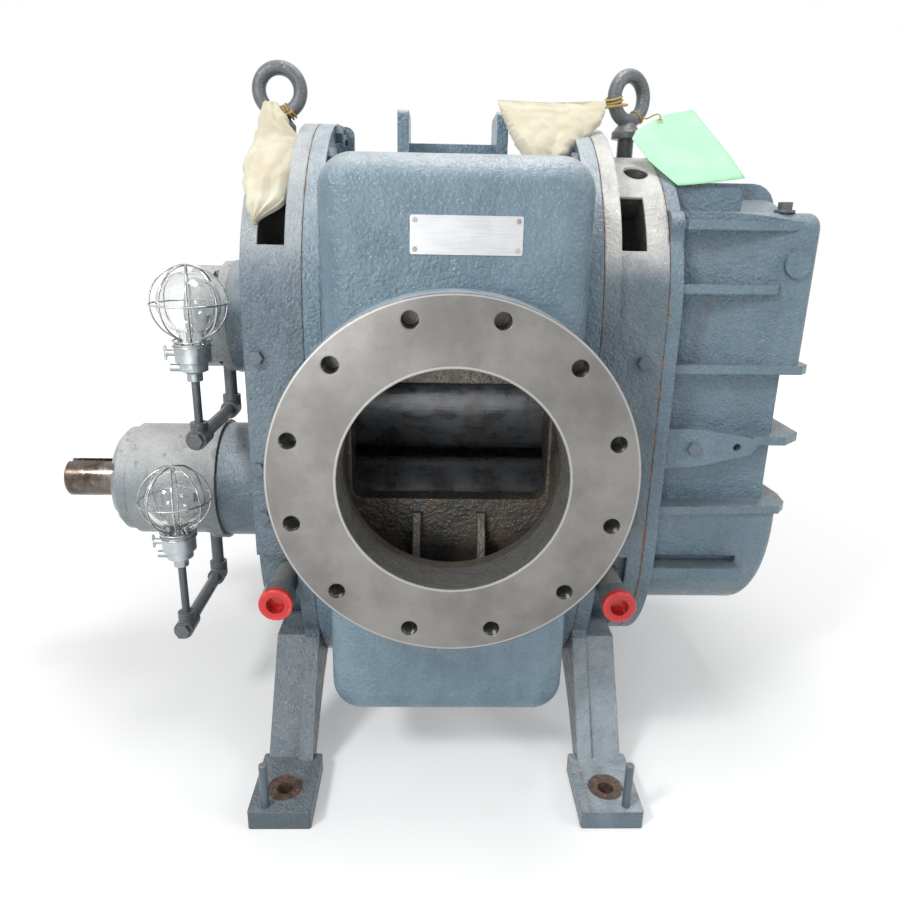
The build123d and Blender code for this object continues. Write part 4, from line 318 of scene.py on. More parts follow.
def casting_paint():
    """Blue-grey enamel; the casing's machined faces, tapped holes and rusty inside by place."""
    f, colour, rough = painted("casting_paint", PAINT_DEEP, PAINT_PALE, PAINT_DUST_AND_HIGHLIGHT)
    colour = worn_edges(f, colour, grey(0.40), 0.45)
    colour = joint_rust(f, colour)
    depth = f.maths("ABSOLUTE", f.maths("SUBTRACT", f.y, SHAFT_PLANE))
    radius = f.apart(f.x, f.z)
    across = f.maths("ABSOLUTE", f.x)
    rise = f.maths("ABSOLUTE", f.z)

    # inside: the bore, the plenum and the rotor bores
    within = f.both(f.span(across, CAVITY_X, CAVITY_X + WALL_EASE, 1.0, 0.0),
                    f.span(rise, CAVITY_Z, CAVITY_Z + WALL_EASE, 1.0, 0.0))
    plenum = f.both(within, f.span(depth, CAVITY_DEPTH, CAVITY_DEPTH + WALL_EASE, 1.0, 0.0))
    bore = f.span(radius, BORE_RADIUS + 0.0012, BORE_RADIUS + 0.0020, 1.0, 0.0)
    about_shaft = f.apart(depth, f.maths("SUBTRACT", rise, SHAFT_RISE))
    barrel = f.span(about_shaft, ROTOR_BORE, ROTOR_BORE + 0.0010, 1.0, 0.0)
    inside = f.either(f.either(plenum, bore), barrel)
    patch = f.span(f.noise(14.0, 5.0, 0.7), 0.36, 0.64)
    bloom = f.span(f.noise(42.0, 4.0, 0.7), 0.50, 0.68)
    rusty = f.mix(patch, (0.100, 0.106, 0.108, 1.0), (0.160, 0.132, 0.100, 1.0))
    rusty = f.mix(f.both(bloom, 0.55), rusty, (0.220, 0.125, 0.060, 1.0))
    mouth = f.both(bore, f.span(depth, FLANGE_BACK, FLANGE_BACK + 0.0008))
    rusty = f.mix(mouth, rusty, (0.185, 0.182, 0.174, 1.0))
    colour = f.mix(inside, colour, rusty)
    rough = f.blend(inside, rough, f.span(f.noise(50.0), 0.3, 0.7, 0.20, 0.50))

    # flange faces, turned: fine rings and a brown bloom
    face = f.span(depth, SHAFT_PLANE - 0.0018, SHAFT_PLANE - 0.0010)
    wander = f.both(f.noise(5.0, 2.0, 0.5), 0.004)
    turned = f.maths("SINE", f.both(f.maths("ADD", radius, wander), 2 * pi / TURNING_PITCH))
    turned = f.both(f.span(turned, -1.0, 1.0),
                    f.span(f.noise(22.0, 2.0, 0.5), 0.30, 0.62, 0.25, 1.0))
    bloom_face = f.span(f.noise(7.0, 5.0, 0.65), 0.34, 0.66)
    bare = f.mix(bloom_face, (0.175, 0.170, 0.162, 1.0), (0.262, 0.256, 0.246, 1.0))
    bare = f.mix(f.both(turned, 0.22), bare, (0.110, 0.108, 0.106, 1.0))
    specks = f.both(f.span(f.noise(90.0, 3.0), 0.55, 0.75), 0.25)
    bare = f.mix(specks, bare, (0.180, 0.130, 0.095, 1.0))
    rims = f.either(f.near(radius, BORE_RADIUS + 0.0022, 0.0008, 0.0010),
                    f.near(radius, FLANGE_RADIUS - 0.0020, 0.0006, 0.0010))
    bare = f.mix(rims, bare, (0.380, 0.375, 0.365, 1.0))
    colour = f.mix(face, colour, bare)
    rough = f.blend(face, rough, f.span(f.noise(6.0, 3.0, 0.6), 0.3, 0.7, 0.34, 0.44))

    # tapped holes: bright thread
    band = f.both(f.near(radius, BOLT_RADIUS, HOLE_REACH, 0.0004),
                  f.span(depth, HOLE_FLOOR, HOLE_FLOOR + 0.001))
    holes = f.both(band, f.inverse(face))
    thread = f.maths("SINE", f.both(f.y, 2 * pi / THREAD_PITCH))
    tapped = f.mix(f.span(thread, -0.6, 0.8), (0.060, 0.058, 0.056, 1.0), BRIGHT_STEEL)
    colour = f.mix(holes, colour, tapped)
    metal = f.either(f.both(face, 0.9), f.either(f.both(holes, 0.9), f.both(inside, 0.25)))
    f.set("Metallic", metal)
    f.set("Roughness", f.blend(holes, rough, 0.3))
    f.set("Base Color", colour)
    # the machined places are smooth, so they take their own share of the casting's grain
    smooth = f.either(face, holes)
    grain = f.both(f.noise(190.0, 3.0, 0.60), f.inverse(smooth))
    swell = f.both(f.noise(60.0, 2.0, 0.5), f.inverse(smooth))
    f.relief((swell, 0.0020), (grain, 0.0024), (f.both(turned, face), 0.00005),
             (f.both(thread, holes), 0.0006), edge_radius=0.0030)
    return f.material


def headplate_paint():
    """A duller enamel, primer on the upper rounds, painted shade in the windows' hollow and on the
    drive-end legs, and rusty spotfaces.
    """
    f, colour, rough = painted("headplate_paint", HEAD_DEEP, HEAD_PALE, PAINT_DUST_AND_HIGHLIGHT)
    hammered(f, 0.9)
    colour = worn_edges(f, colour, grey(0.42), 0.5)
    # warm grey primer on the upper rounds, mostly at the gear end
    high = f.span(f.z, 0.235, 0.300)
    primer = f.mix(f.span(f.noise(20.0, 5.0, 0.65), 0.35, 0.65), (0.480, 0.480, 0.465, 1.0),
                   (0.660, 0.650, 0.620, 1.0))
    gear_end = f.span(f.x, 0.0, 0.02)
    reach = f.both(high, f.blend(gear_end, 0.30, 1.0))
    drawn = f.span(f.noise(9.0, 4.0, 0.6), 0.18, 0.42)
    colour = f.mix(f.both(reach, drawn), colour, primer)
    colour = joint_rust(f, colour)
    # painted shade: the drive-end legs are darkened low down
    painted_leg_shade = f.both(f.span(f.z, -0.34, -0.28, 0.6, 0.0), f.span(f.x, -0.1, 0.1, 1.0, 0.0))
    colour = f.mix(painted_leg_shade, colour, (0.030, 0.050, 0.066, 1.0))
    # hollow behind the windows: painted shade, near black, with patches of rusty brown
    height = f.either(f.maths("SUBTRACT", f.maths("ABSOLUTE", f.z), CROWN_RISE), 0.0)
    depth = f.maths("SUBTRACT", f.y, SHAFT_PLANE)
    out = f.apart(depth, height)
    across = f.maths("ABSOLUTE", f.x)
    beyond = f.either(f.span(f.x, DRIVE_WALL_X, DRIVE_WALL_X - 0.0004),
                      f.span(f.x, GEAR_WALL_X, GEAR_WALL_X + 0.0004))
    between = f.both(f.span(across, HEAD_HOLLOW_X, HEAD_HOLLOW_X + 0.0005), f.inverse(beyond))
    hollow = f.both(f.span(out, CROWN_RADIUS - 0.0045, CROWN_RADIUS - 0.0025, 1.0, 0.0), between)
    hollow = f.both(hollow, f.span(f.z, HEAD_SILL, HEAD_SILL + 0.002))
    dark = f.mix(f.span(f.noise(60.0, 4.0, 0.7), 0.4, 0.65), (0.016, 0.018, 0.022, 1.0),
                 (0.060, 0.044, 0.034, 1.0))
    colour = f.mix(hollow, colour, dark)
    # spotfaces around the anchor holes
    foot = f.apart(f.maths("SUBTRACT", across, ANCHOR_X),
                   f.maths("SUBTRACT", f.maths("ABSOLUTE", depth), ANCHOR_Y))
    ragged = f.maths("ADD", foot, f.both(f.maths("SUBTRACT", f.noise(70.0), 0.5), 0.010))
    spot = f.both(f.span(ragged, *SPOTFACE, 1.0, 0.0), f.span(f.z, PAD_TOP, PAD_TOP - 0.001))
    rust = f.mix(f.span(f.noise(150.0, 4.0), 0.38, 0.62), RUST_DARK, RUST_BROWN)
    colour = f.mix(f.both(spot, 0.92), colour, rust)
    f.set("Base Color", colour)
    f.set("Roughness", f.blend(f.either(spot, hollow), rough, 0.62))
    return f.material


def case_paint():
    """The gear case's enamel, a little darker, with long streaks down it."""
    f, colour, rough = painted("gear_case_paint", PAINT_DEEP, (0.128, 0.205, 0.258, 1.0),
                               (0.250, 0.300, 0.335, 1.0))
    hammered(f, 1.0)
    colour = worn_edges(f, colour, grey(0.46), 0.6)
    colour = joint_rust(f, colour)
    streak = f.both(f.span(f.noise(42.0, 3.0, 0.6, (1.0, 1.0, 0.10)), 0.56, 0.74), 0.35)
    colour = f.mix(streak, colour, (0.120, 0.098, 0.082, 1.0))
    f.set("Base Color", colour)
    f.set("Roughness", rough)
    return f.material


def housing_paint():
    """Lighter grey enamel with drips on the bearing housings."""
    f, colour, rough = painted("housing_paint", (0.200, 0.236, 0.258, 1.0),
                               (0.320, 0.345, 0.355, 1.0), (0.560, 0.560, 0.545, 1.0), gloss=0.30)
    hammered(f, 0.7)
    colour = worn_edges(f, colour, grey(0.50), 0.5)
    drips = f.both(f.span(f.noise(75.0, 2.0, 0.5, (1.0, 1.0, 0.12)), 0.58, 0.72), 0.5)
    colour = f.mix(drips, colour, (0.095, 0.082, 0.070, 1.0))
    f.set("Base Color", colour)
    f.set("Roughness", rough)
    return f.material


def plain_paint(name, deep, pale, dust_and_highlight, chipped, gloss=0.36, grain=0.35):
    """Enamel on fasteners, eyebolts and pipes."""
    f, colour, rough = painted(name, deep, pale, dust_and_highlight, gloss=gloss)
    hammered(f, grain)
    f.set("Base Color", worn_edges(f, colour, chipped, 0.75))
    f.set("Roughness", rough)
    return f.material


def gasket_rubber():
    """Black joint compound with rust bleeding through."""
    f = Finish("gasket", Metallic=0.0, Roughness=0.75)
    rust = f.span(f.noise(45.0, 4.0, 0.7), 0.50, 0.62)
    f.set("Base Color", f.mix(rust, (0.016, 0.015, 0.014, 1.0), RUST_ORANGE))
    f.relief((f.noise(300.0), 0.0006))
    return f.material


def bare_metal(name, dark, light, low, high, metallic, grain, stretch, depth=0.00015, stain=None,
               stain_share=0.0):
    """Machined or cast metal of a roughness from low to high, its grain drawn out by stretch."""
    f = Finish(name, Metallic=metallic)
    scratch = f.noise(grain, 3.0, 0.6, stretch)
    patch = f.span(f.noise(24.0, 5.0, 0.65), 0.35, 0.65)
    colour = f.mix(f.both(f.maths("ADD", patch, scratch), 0.5), dark, light)
    if stain:
        blotch = f.span(f.noise(17.0, 5.0, 0.7), 0.46, 0.64)
        colour = f.mix(f.both(blotch, stain_share), colour, stain)
    f.set("Base Color", colour)
    f.set("Roughness", f.span(f.maths("ADD", patch, scratch), 0.6, 1.4, low, high))
    f.relief((scratch, depth), edge_radius=0.0010)
    return f.material


def brushed_plate():
    """The bare nameplate: brushed aluminium with faint finger marks."""
    f = Finish("plate_aluminium", Metallic=0.85)
    brush = f.noise(900.0, 2.0, 0.5, (0.03, 1.0, 1.0))
    marks = f.span(f.noise(22.0, 4.0, 0.6), 0.40, 0.66)
    colour = f.mix(brush, (0.480, 0.490, 0.510, 1.0), (0.740, 0.748, 0.760, 1.0))
    f.set("Base Color", f.mix(f.both(marks, 0.25), colour, (0.420, 0.440, 0.470, 1.0)))
    f.set("Roughness", f.span(marks, 0.0, 1.0, 0.30, 0.42))
    f.relief((brush, 0.00005), edge_radius=0.0006)
    return f.material


def clear_glass():
    """The oiler's globe: clear, with an oily film."""
    f = Finish("glass", Metallic=0.0, IOR=1.47, Transmission_Weight=1.0, Roughness=0.0)
    film = f.span(f.noise(30.0, 3.0, 0.6), 0.45, 0.75)
    f.set("Base Color", f.mix(film, (0.975, 0.985, 0.985, 1.0), (0.900, 0.905, 0.880, 1.0)))
    f.relief((f.noise(26.0, 2.0, 0.5), 0.0008))
    return f.material


def red_plastic():
    """Glossy, scuffed pipe caps, the middle of the face a deeper red as painted recess shade;
    behind the rim they are pipe grey.
    """
    f = Finish("red_plastic", Metallic=0.0, Subsurface_Weight=0.05, Coat_Weight=0.35,
               Coat_Roughness=0.12)
    scuff = f.span(f.noise(130.0, 4.0, 0.7, (1, 0.25, 1)), 0.56, 0.72)
    tint = f.mix(f.span(f.noise(22.0), 0.35, 0.65), (0.640, 0.012, 0.010, 1.0),
                 (0.800, 0.030, 0.022, 1.0))
    tint = f.mix(f.both(scuff, 0.35), tint, (0.90, 0.30, 0.26, 1.0))
    across = f.maths("SUBTRACT", f.maths("ABSOLUTE", f.x), PIPE_X)
    from_centre = f.apart(across, f.maths("SUBTRACT", f.z, PIPE_Z))
    # painted shade: the middle of the cap's face is a deeper red, standing in for a recess's shade
    painted_recess_shade = f.span(from_centre, CAP_SHADED_FACE_RADIUS, CAP_SHADED_FACE_RADIUS + 0.0008, 1.0, 0.0)
    tint = f.mix(f.both(painted_recess_shade, 0.85), tint, (0.560, 0.010, 0.010, 1.0))
    behind = CAP_FRONT + CAP_RIM
    sleeve = f.both(f.span(f.y, behind, behind + 0.0006), f.inverse(painted_recess_shade))
    pipe = f.mix(f.noise(30.0), (0.110, 0.110, 0.105, 1.0), (0.190, 0.188, 0.180, 1.0))
    f.set("Base Color", f.mix(sleeve, tint, pipe))
    f.set("Roughness", f.span(scuff, 0.0, 1.0, 0.24, 0.45))
    f.relief((f.noise(90.0, 2.0), 0.0003), edge_radius=0.0016)
    return f.material


def canvas():
    """Cream canvas with a fine weave and oil spots."""
    f = Finish("canvas", Metallic=0.0, Roughness=0.85, Sheen_Weight=0.25, Sheen_Roughness=0.5,
               Subsurface_Weight=0.10)
    warp = f.maths("ABSOLUTE", f.maths("SINE", f.both(f.x, pi / WEAVE_PITCH)))
    weft = f.maths("ABSOLUTE", f.maths("SINE", f.both(f.z, pi / WEAVE_PITCH)))
    weave = f.both(warp, weft)
    broad = f.span(f.noise(16.0, 4.0, 0.6), 0.34, 0.68)
    colour = f.mix(broad, (0.660, 0.605, 0.450, 1.0), (0.760, 0.720, 0.580, 1.0))
    colour = f.mix(f.both(weave, 0.22), colour, (0.500, 0.435, 0.290, 1.0))
    spots = f.span(f.cells(75.0), 0.10, 0.06)
    spots = f.both(spots, f.span(f.noise(9.0), 0.52, 0.60))
    colour = f.mix(spots, colour, (0.20, 0.14, 0.08, 1.0))
    f.set("Base Color", colour)
    f.relief((weave, 0.00025), (f.noise(120.0, 3.0, 0.6), 0.0005))
    return f.material


def tag_card():
    """Mint card with faint ruled lines and a soft blotchiness."""
    f = Finish("tag_card", Metallic=0.0, Roughness=0.62, Subsurface_Weight=0.05)
    broad = f.span(f.noise(18.0, 4.0, 0.6), 0.35, 0.65)
    colour = f.mix(broad, (0.390, 0.790, 0.470, 1.0), (0.470, 0.850, 0.545, 1.0))
    slant = f.maths("ADD", f.both(f.x, 0.92), f.both(f.y, 0.30))
    rule = f.maths("SINE", f.both(slant, 2 * pi / RULE_PITCH))
    lines = f.both(f.span(rule, 0.90, 0.97), f.span(f.noise(420.0, 2.0, 0.6), 0.40, 0.52))
    field_x, field_y, half, soft = 0.365, 0.368, 0.036, 0.004
    field = f.both(f.near(f.x, field_x, half, soft), f.near(f.y, field_y, half, soft))
    ink = f.both(f.both(lines, field), 0.42)
    f.set("Base Color", f.mix(ink, colour, (0.10, 0.24, 0.14, 1.0)))
    f.relief((f.noise(260.0, 3.0, 0.6), 0.0002))
    return f.material


def twisted_string():
    """Waxed yellow string; the lay shows as slanted bands."""
    f = Finish("string", Metallic=0.0, Roughness=0.7, Sheen_Weight=0.2)
    slant = f.maths("ADD", f.x, f.maths("ADD", f.y, f.z))
    lay = f.maths("SINE", f.both(slant, 2 * pi / LAY_PITCH))
    f.set("Base Color", f.mix(f.span(lay, -0.7, 0.9), (0.420, 0.250, 0.045, 1.0),
                              (0.760, 0.540, 0.160, 1.0)))
    f.relief((lay, 0.0003))
    return f.material


# deep, pale, and the paler top colour that stands for settled dust and painted highlight
BLUE_STEEL = ((0.070, 0.100, 0.125, 1.0), (0.118, 0.158, 0.188, 1.0), (0.210, 0.240, 0.262, 1.0))
SLOT_FINISH = {
    "casting_paint": headplate_paint(),
    "housing_paint": housing_paint(),
    "gasket": gasket_rubber(),
    "machined_steel": bare_metal("machined_steel", grey(0.26, 0.05), grey(0.46, 0.04), 0.26, 0.42,
                                 0.95, 700.0, (0.1, 1, 1)),
    "shaft_steel": bare_metal("shaft_steel", (0.085, 0.072, 0.064, 1.0),
                              (0.260, 0.232, 0.212, 1.0), 0.16, 0.34, 0.92, 380.0,
                              (1.0, 0.08, 0.08), 0.00010, (0.070, 0.040, 0.026, 1.0), 0.8),
    "cast_iron": bare_metal("cast_iron", (0.130, 0.145, 0.160, 1.0), (0.300, 0.325, 0.350, 1.0),
                            0.26, 0.46, 0.55, 180.0, (0.15, 1, 1), 0.0004,
                            (0.130, 0.080, 0.048, 1.0), 0.40),
    "screw_paint": plain_paint("screw_paint", *BLUE_STEEL, grey(0.34)),
    "dark_steel": plain_paint("dark_steel", (0.070, 0.080, 0.088, 1.0), (0.118, 0.130, 0.140, 1.0),
                              (0.215, 0.228, 0.236, 1.0), grey(0.34), 0.30, 0.5),
    "plate_aluminium": brushed_plate(),
    "glass": clear_glass(),
    "guard_wire": bare_metal("guard_wire", grey(0.34), grey(0.62), 0.16, 0.28, 1.0, 300.0,
                             (1, 1, 1), 0.00008, grey(0.16, 0.1), 0.45),
    "zinc": bare_metal("zinc", (0.330, 0.365, 0.380, 1.0), (0.560, 0.600, 0.615, 1.0), 0.28, 0.46,
                       0.85, 120.0, (1, 1, 1), 0.0002, (0.140, 0.150, 0.150, 1.0), 0.55),
    "pipe_iron": plain_paint("pipe_iron", (0.052, 0.058, 0.066, 1.0), (0.105, 0.115, 0.126, 1.0),
                             (0.165, 0.175, 0.185, 1.0), (0.20, 0.13, 0.08, 1.0), 0.36, 0.4),
    "drain_pipe": plain_paint("drain_pipe", (0.105, 0.105, 0.100, 1.0), (0.185, 0.183, 0.176, 1.0),
                              (0.260, 0.258, 0.250, 1.0), grey(0.30), 0.34, 0.25),
    "red_plastic": red_plastic(),
    "canvas": canvas(),
    "tag_card": tag_card(),
    "string": twisted_string(),
}
NODE_FINISH = {"casing": casting_paint(), "gear_case": case_paint(),
               "nameplate_screws": SLOT_FINISH["machined_steel"]}
for pipe in ("drive_end_drain_pipe", "gear_end_drain_pipe"):
    NODE_FINISH[pipe] = SLOT_FINISH["drain_pipe"]

for row in frame["record"]["subparts"]:
    finish = NODE_FINISH.get(row["node"], SLOT_FINISH[row["material_slot"]])
    NODES[row["node"]].data.materials.clear()
    NODES[row["node"]].data.materials.append(finish)


# ---------------------------------------------------------------- mesh helpers
def new_object(name, data):
    """An object in the scene that holds the data."""
    made = bpy.data.objects.new(name, data)
    bpy.context.scene.collection.objects.link(made)
    return made


def mesh_piece(name, points, faces, slot, smooth=True):
    """A mesh object in its slot's finish."""
    mesh = bpy.data.meshes.new(name)
    mesh.from_pydata([tuple(p) for p in points], [], faces)
    mesh.update()
    mesh.polygons.foreach_set("use_smooth", [smooth] * len(mesh.polygons))
    piece = new_object(name, mesh)
    mesh.materials.append(SLOT_FINISH[slot])
    return piece


def lathe(outline, centre, sides):
    """Points and faces of an outline of (radius, height) turned about Z."""
    points, faces = [], []
    for i in range(sides):
        turned = 2 * pi * i / sides
        points += [centre + Vector((r * cos(turned), r * sin(turned), z)) for r, z in outline]
    count = len(outline)
    for i in range(sides):
        here, there = i * count, (i + 1) % sides * count
        faces += [(here + k, there + k, there + k + 1, here + k + 1) for k in range(count - 1)]
    return points, faces


def wires(name, runs, radius, slot):
    """Round wires along smooth runs of points; a run is (points, closed)."""
    curve = bpy.data.curves.new(name, "CURVE")
    curve.dimensions = "3D"
    curve.bevel_depth = 1.0       # each point's radius is the wire's: the curve's box is true
    curve.bevel_resolution = 3
    curve.resolution_u = 6
    curve.use_fill_caps = True
    for points, closed in runs:
        spline = curve.splines.new("NURBS")
        spline.points.add(len(points) - 1)
        for place, point in zip(spline.points, points):
            place.co = (*point, 1.0)
            place.radius = radius
        spline.use_cyclic_u = closed
        spline.order_u = 3
        spline.use_endpoint_u = not closed
    curve.materials.append(SLOT_FINISH[slot])
    piece = new_object(name, curve)
    return piece


def ring(centre, radius):
    """Points of a level circle."""
    count = 32
    turns = [2 * pi * i / count for i in range(count)]
    return [Vector(centre) + Vector((radius * cos(turn), radius * sin(turn), 0)) for turn in turns]


# ---------------------------------------------------------------- oilers
def oiler_guard(name, centre):
    """Four hoops over the globe from the socket's band, a belt, and two rings round the band."""
    centre = Vector(centre)
    foot = -asin((SOCKET_TOP_DROP - SOCKET_LAP) / GUARD_RADIUS)
    hoops, steps = 4, 24
    runs = []
    for hoop in range(hoops):
        turned = pi * (hoop + 0.35) / hoops
        radius = GUARD_RADIUS + 0.0004 * hoop          # so that crossing wires lie side by side
        points = []
        for step in range(steps + 1):
            angle = foot + (pi - 2 * foot) * step / steps
            reach, rise = radius * cos(angle), radius * sin(angle)
            points.append(centre + Vector((reach * cos(turned), reach * sin(turned), rise)))
        ends = [centre + Vector((side * BAND_RADIUS * cos(turned), side * BAND_RADIUS * sin(turned),
                                 -SOCKET_TOP_DROP - BAND_DROP)) for side in (1, -1)]
        runs.append(([ends[0]] + points + [ends[1]], False))
    runs.append((ring(centre, GUARD_RADIUS + GUARD_WIRE), True))
    for drop in (BAND_DROP, -0.0045):
        level = centre + Vector((0, 0, -SOCKET_TOP_DROP - drop))
        runs.append((ring(level, BAND_RADIUS + 0.0001), True))
    piece = wires(name + "_oiler_guard_wires", runs, GUARD_WIRE, "guard_wire")
    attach(piece, BODY)
    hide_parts(name + "_oiler_guard")


def oiler_globe(name, centre):
    """A blown globe with a neck and an inner surface."""
    glass = 0.0022
    pole = 0.00005                # radius left open at the crown
    steps = 32
    neck = asin(BOWL_NECK / BOWL_RADIUS)
    inner = BOWL_RADIUS - glass
    low = -SOCKET_TOP_DROP - SOCKET_LAP
    outline = [(BOWL_NECK, low)]
    for step in range(steps + 1):
        angle = -pi / 2 + neck + (pi - neck) * step / steps
        outline.append((max(BOWL_RADIUS * cos(angle), pole), BOWL_RADIUS * sin(angle)))
    for step in range(steps + 1):
        angle = pi / 2 - (pi - neck) * step / steps
        outline.append((max(inner * cos(angle), pole), inner * sin(angle)))
    outline += [(BOWL_NECK - glass, low), (BOWL_NECK, low)]
    points, faces = lathe(outline, Vector(centre), 64)
    piece = mesh_piece(name + "_oiler_globe", points, faces, "glass")
    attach(piece, BODY)
    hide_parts(name + "_oiler_bowl")


def wing_nut(name, centre):
    """The two wings of the socket's clamp nut, on the socket's left."""
    x, y, z = centre
    base = Vector((x - 0.041, y, z - SOCKET_TOP_DROP - 0.015))
    half_thick = 0.0012
    points, faces = [], []
    for side in (-1, 1):
        start = len(points)
        profile = [(-0.002, 0.0), (-0.0035, side * 0.004), (-0.0028, side * 0.011),
                   (-0.0005, side * 0.0125), (0.0010, side * 0.009), (0.0025, 0.0)]
        for out in (-half_thick, half_thick):
            points += [base + Vector((px, out, pz)) for px, pz in profile]
        count = len(profile)
        front, back = start, start + count
        faces.append(tuple(front + k for k in range(count)))
        faces.append(tuple(back + k for k in reversed(range(count))))
        faces += [(front + k, back + k, back + (k + 1) % count, front + (k + 1) % count)
                  for k in range(count)]
    piece = mesh_piece(name + "_oiler_wing_nut", points, faces, "zinc", smooth=False)
    bevel = piece.modifiers.new("soft", "BEVEL")
    bevel.width = 0.0005
    bevel.segments = 2
    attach(piece, BODY)


for oiler, place in OILERS.items():
    oiler_guard(oiler, place)
    oiler_globe(oiler, place)
    wing_nut(oiler, place)


# ---------------------------------------------------------------- eyebolt threads
def eyebolt_threads():
    """Dark threads showing between each eyebolt's collar and the crown."""
    low, high, pitch = 0.4285, 0.4565, 0.0030
    root, crest = 0.0121, 0.0136
    outline = []
    for turn in range(int((high - low) / pitch)):
        z = low + turn * pitch
        outline += [(root, z), (crest, z + 0.35 * pitch), (crest, z + 0.65 * pitch),
                    (root, z + pitch)]
    for name, x in (("drive", DRIVE_EYE_X), ("gear", GEAR_EYE_X)):
        points, faces = lathe(outline, Vector((x, SHAFT_PLANE, 0)), 48)
        piece = mesh_piece(name + "_eyebolt_thread", points, faces, "dark_steel")
        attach(piece, BODY)


eyebolt_threads()


# ---------------------------------------------------------------- bags
CREASE_SEED = 1
noise.seed_set(CREASE_SEED)   # without it the creases' wander would differ from run to run


def eased(table, t):
    """A smooth value along a short table of evenly spaced values."""
    at = t * (len(table) - 1)
    i = min(int(at), len(table) - 2)
    s = at - i
    s = s * s * (3 - 2 * s)
    return table[i] * (1 - s) + table[i + 1] * s


def crumple(point, seed):
    """Flat cells between sharp, wandering ridges, as stiff cloth creases."""
    place = Vector(point) + Vector((seed, 0.37 * seed, 0.71 * seed))
    place += 0.010 * noise.noise_vector(place * 22.0)
    return noise.voronoi(place * 20.0)[0][0] + 0.42 * noise.voronoi(place * 47.0)[0][0]


BAG_GAP = 0.0006              # how far the bags lie off the casting
BAG_ROWS = 84
BAG_COLUMNS = 104


def bag_shell(name, centre_line, left_side, right_side, thick, out, fold, seed, pleats, slant, sag):
    """A closed, creased shell. Rows follow centre_line(v); out(v) points away from the casting."""
    points, faces = [], []
    for i in range(BAG_ROWS + 1):
        v = i / BAG_ROWS
        base = centre_line(v)
        outward = out(v)
        left, right, depth = eased(left_side, v), eased(right_side, v), eased(thick, v)
        for j in range(BAG_COLUMNS):
            # around the section: front from left to right, then back from right to left
            angle = 2 * pi * j / BAG_COLUMNS
            across = 0.5 - 0.5 * cos(angle)
            front = sin(angle)
            x = left + (right - left) * across
            bulge = depth * (abs(front) ** 0.5) * (1.0 if front > 0 else 0.0)
            drop = sag * sin(pi * across) * (1 - v) ** 2
            point = Vector((x, base.y, base.z - drop)) + outward * (BAG_GAP + bulge)
            if front > 0:
                wander = 0.35 * noise.noise(point * 24.0)
                place = pleats * across + slant * v + wander + 0.1 * seed
                pleat = abs(place % 1.0 - 0.5) ** 0.8
                folds = fold * (1.15 * crumple(point, seed) + 1.1 * pleat - 0.6)
                point = point + outward * (folds * abs(front) ** 0.4)
            side = 1 if across > 0.5 else -1
            edge = 0.0035 * noise.noise(Vector((17 * v + seed, 3.1 * side, 0.0)))
            point.x += edge * (1 - abs(front))
            points.append(point)
    for i in range(BAG_ROWS):
        here, there = i * BAG_COLUMNS, (i + 1) * BAG_COLUMNS
        for j in range(BAG_COLUMNS):
            k = (j + 1) % BAG_COLUMNS
            faces.append((here + j, here + k, there + k, there + j))
    faces.append(tuple(range(BAG_COLUMNS - 1, -1, -1)))
    faces.append(tuple(BAG_ROWS * BAG_COLUMNS + j for j in range(BAG_COLUMNS)))
    piece = mesh_piece(name, points, faces, "canvas")
    soften = piece.modifiers.new("soft", "SUBSURF")
    soften.levels = 1
    soften.render_levels = 1
    return piece


def drive_bag():
    """Draped over the drive headplate's crown, its neck drawn up to the eyebolt."""
    neck = 0.28                   # share of the bag's length
    body = 1.0 - neck

    def line(v):
        if v < neck:
            share = v / neck
            return Vector((0, SHAFT_PLANE - 0.032 - 0.020 * share, 0.496 - 0.069 * share))
        angle = radians(103.0 + 46.0 * (v - neck) / body)
        return Vector((0, SHAFT_PLANE + CROWN_RADIUS * cos(angle),
                       CROWN_RISE + CROWN_RADIUS * sin(angle)))

    def out(v):
        angle = radians(168.0 - 62.0 * min(v / neck, 1.0) + 40.0 * max(v - neck, 0.0) / body)
        return Vector((0, cos(angle), sin(angle)))

    left = [-0.303, -0.3115, -0.3183, -0.3160, -0.3160, -0.3113, -0.3030, -0.2900]
    right = [-0.279, -0.2600, -0.2355, -0.2312, -0.2303, -0.2357, -0.2458, -0.2830]
    thick = [0.006, 0.010, 0.013, 0.015, 0.016, 0.015, 0.011, 0.004]
    piece = bag_shell("drive_end_canvas_bag", line, left, right, thick, out, fold=0.008, seed=3.0,
                      pleats=3.0, slant=1.6, sag=0.0)
    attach(piece, BODY)
    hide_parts("drive_end_bag")


def gear_bag():
    """Slumped on the casing's crown, leaning back, its neck drawn to the gear-end eyebolt."""
    lean = radians(27.5)
    length = 0.112
    foot = Vector((0, SHAFT_PLANE - 0.118, 0.4035))
    along = Vector((0, sin(lean), cos(lean)))

    def line(v):
        return foot + along * (length - 0.111 * v)

    def out(v):
        return Vector((0, -cos(lean), sin(lean)))

    left = [0.068, 0.073, 0.079, 0.086, 0.094, 0.104, 0.113]
    right = [0.237, 0.236, 0.230, 0.214, 0.196, 0.180, 0.166]
    thick = [0.002, 0.008, 0.013, 0.016, 0.018, 0.017, 0.012]
    piece = bag_shell("gear_end_canvas_bag", line, left, right, thick, out, fold=0.007, seed=11.0,
                      pleats=3.2, slant=-0.8, sag=0.008)
    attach(piece, BODY)
    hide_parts("gear_end_bag")


drive_bag()
gear_bag()


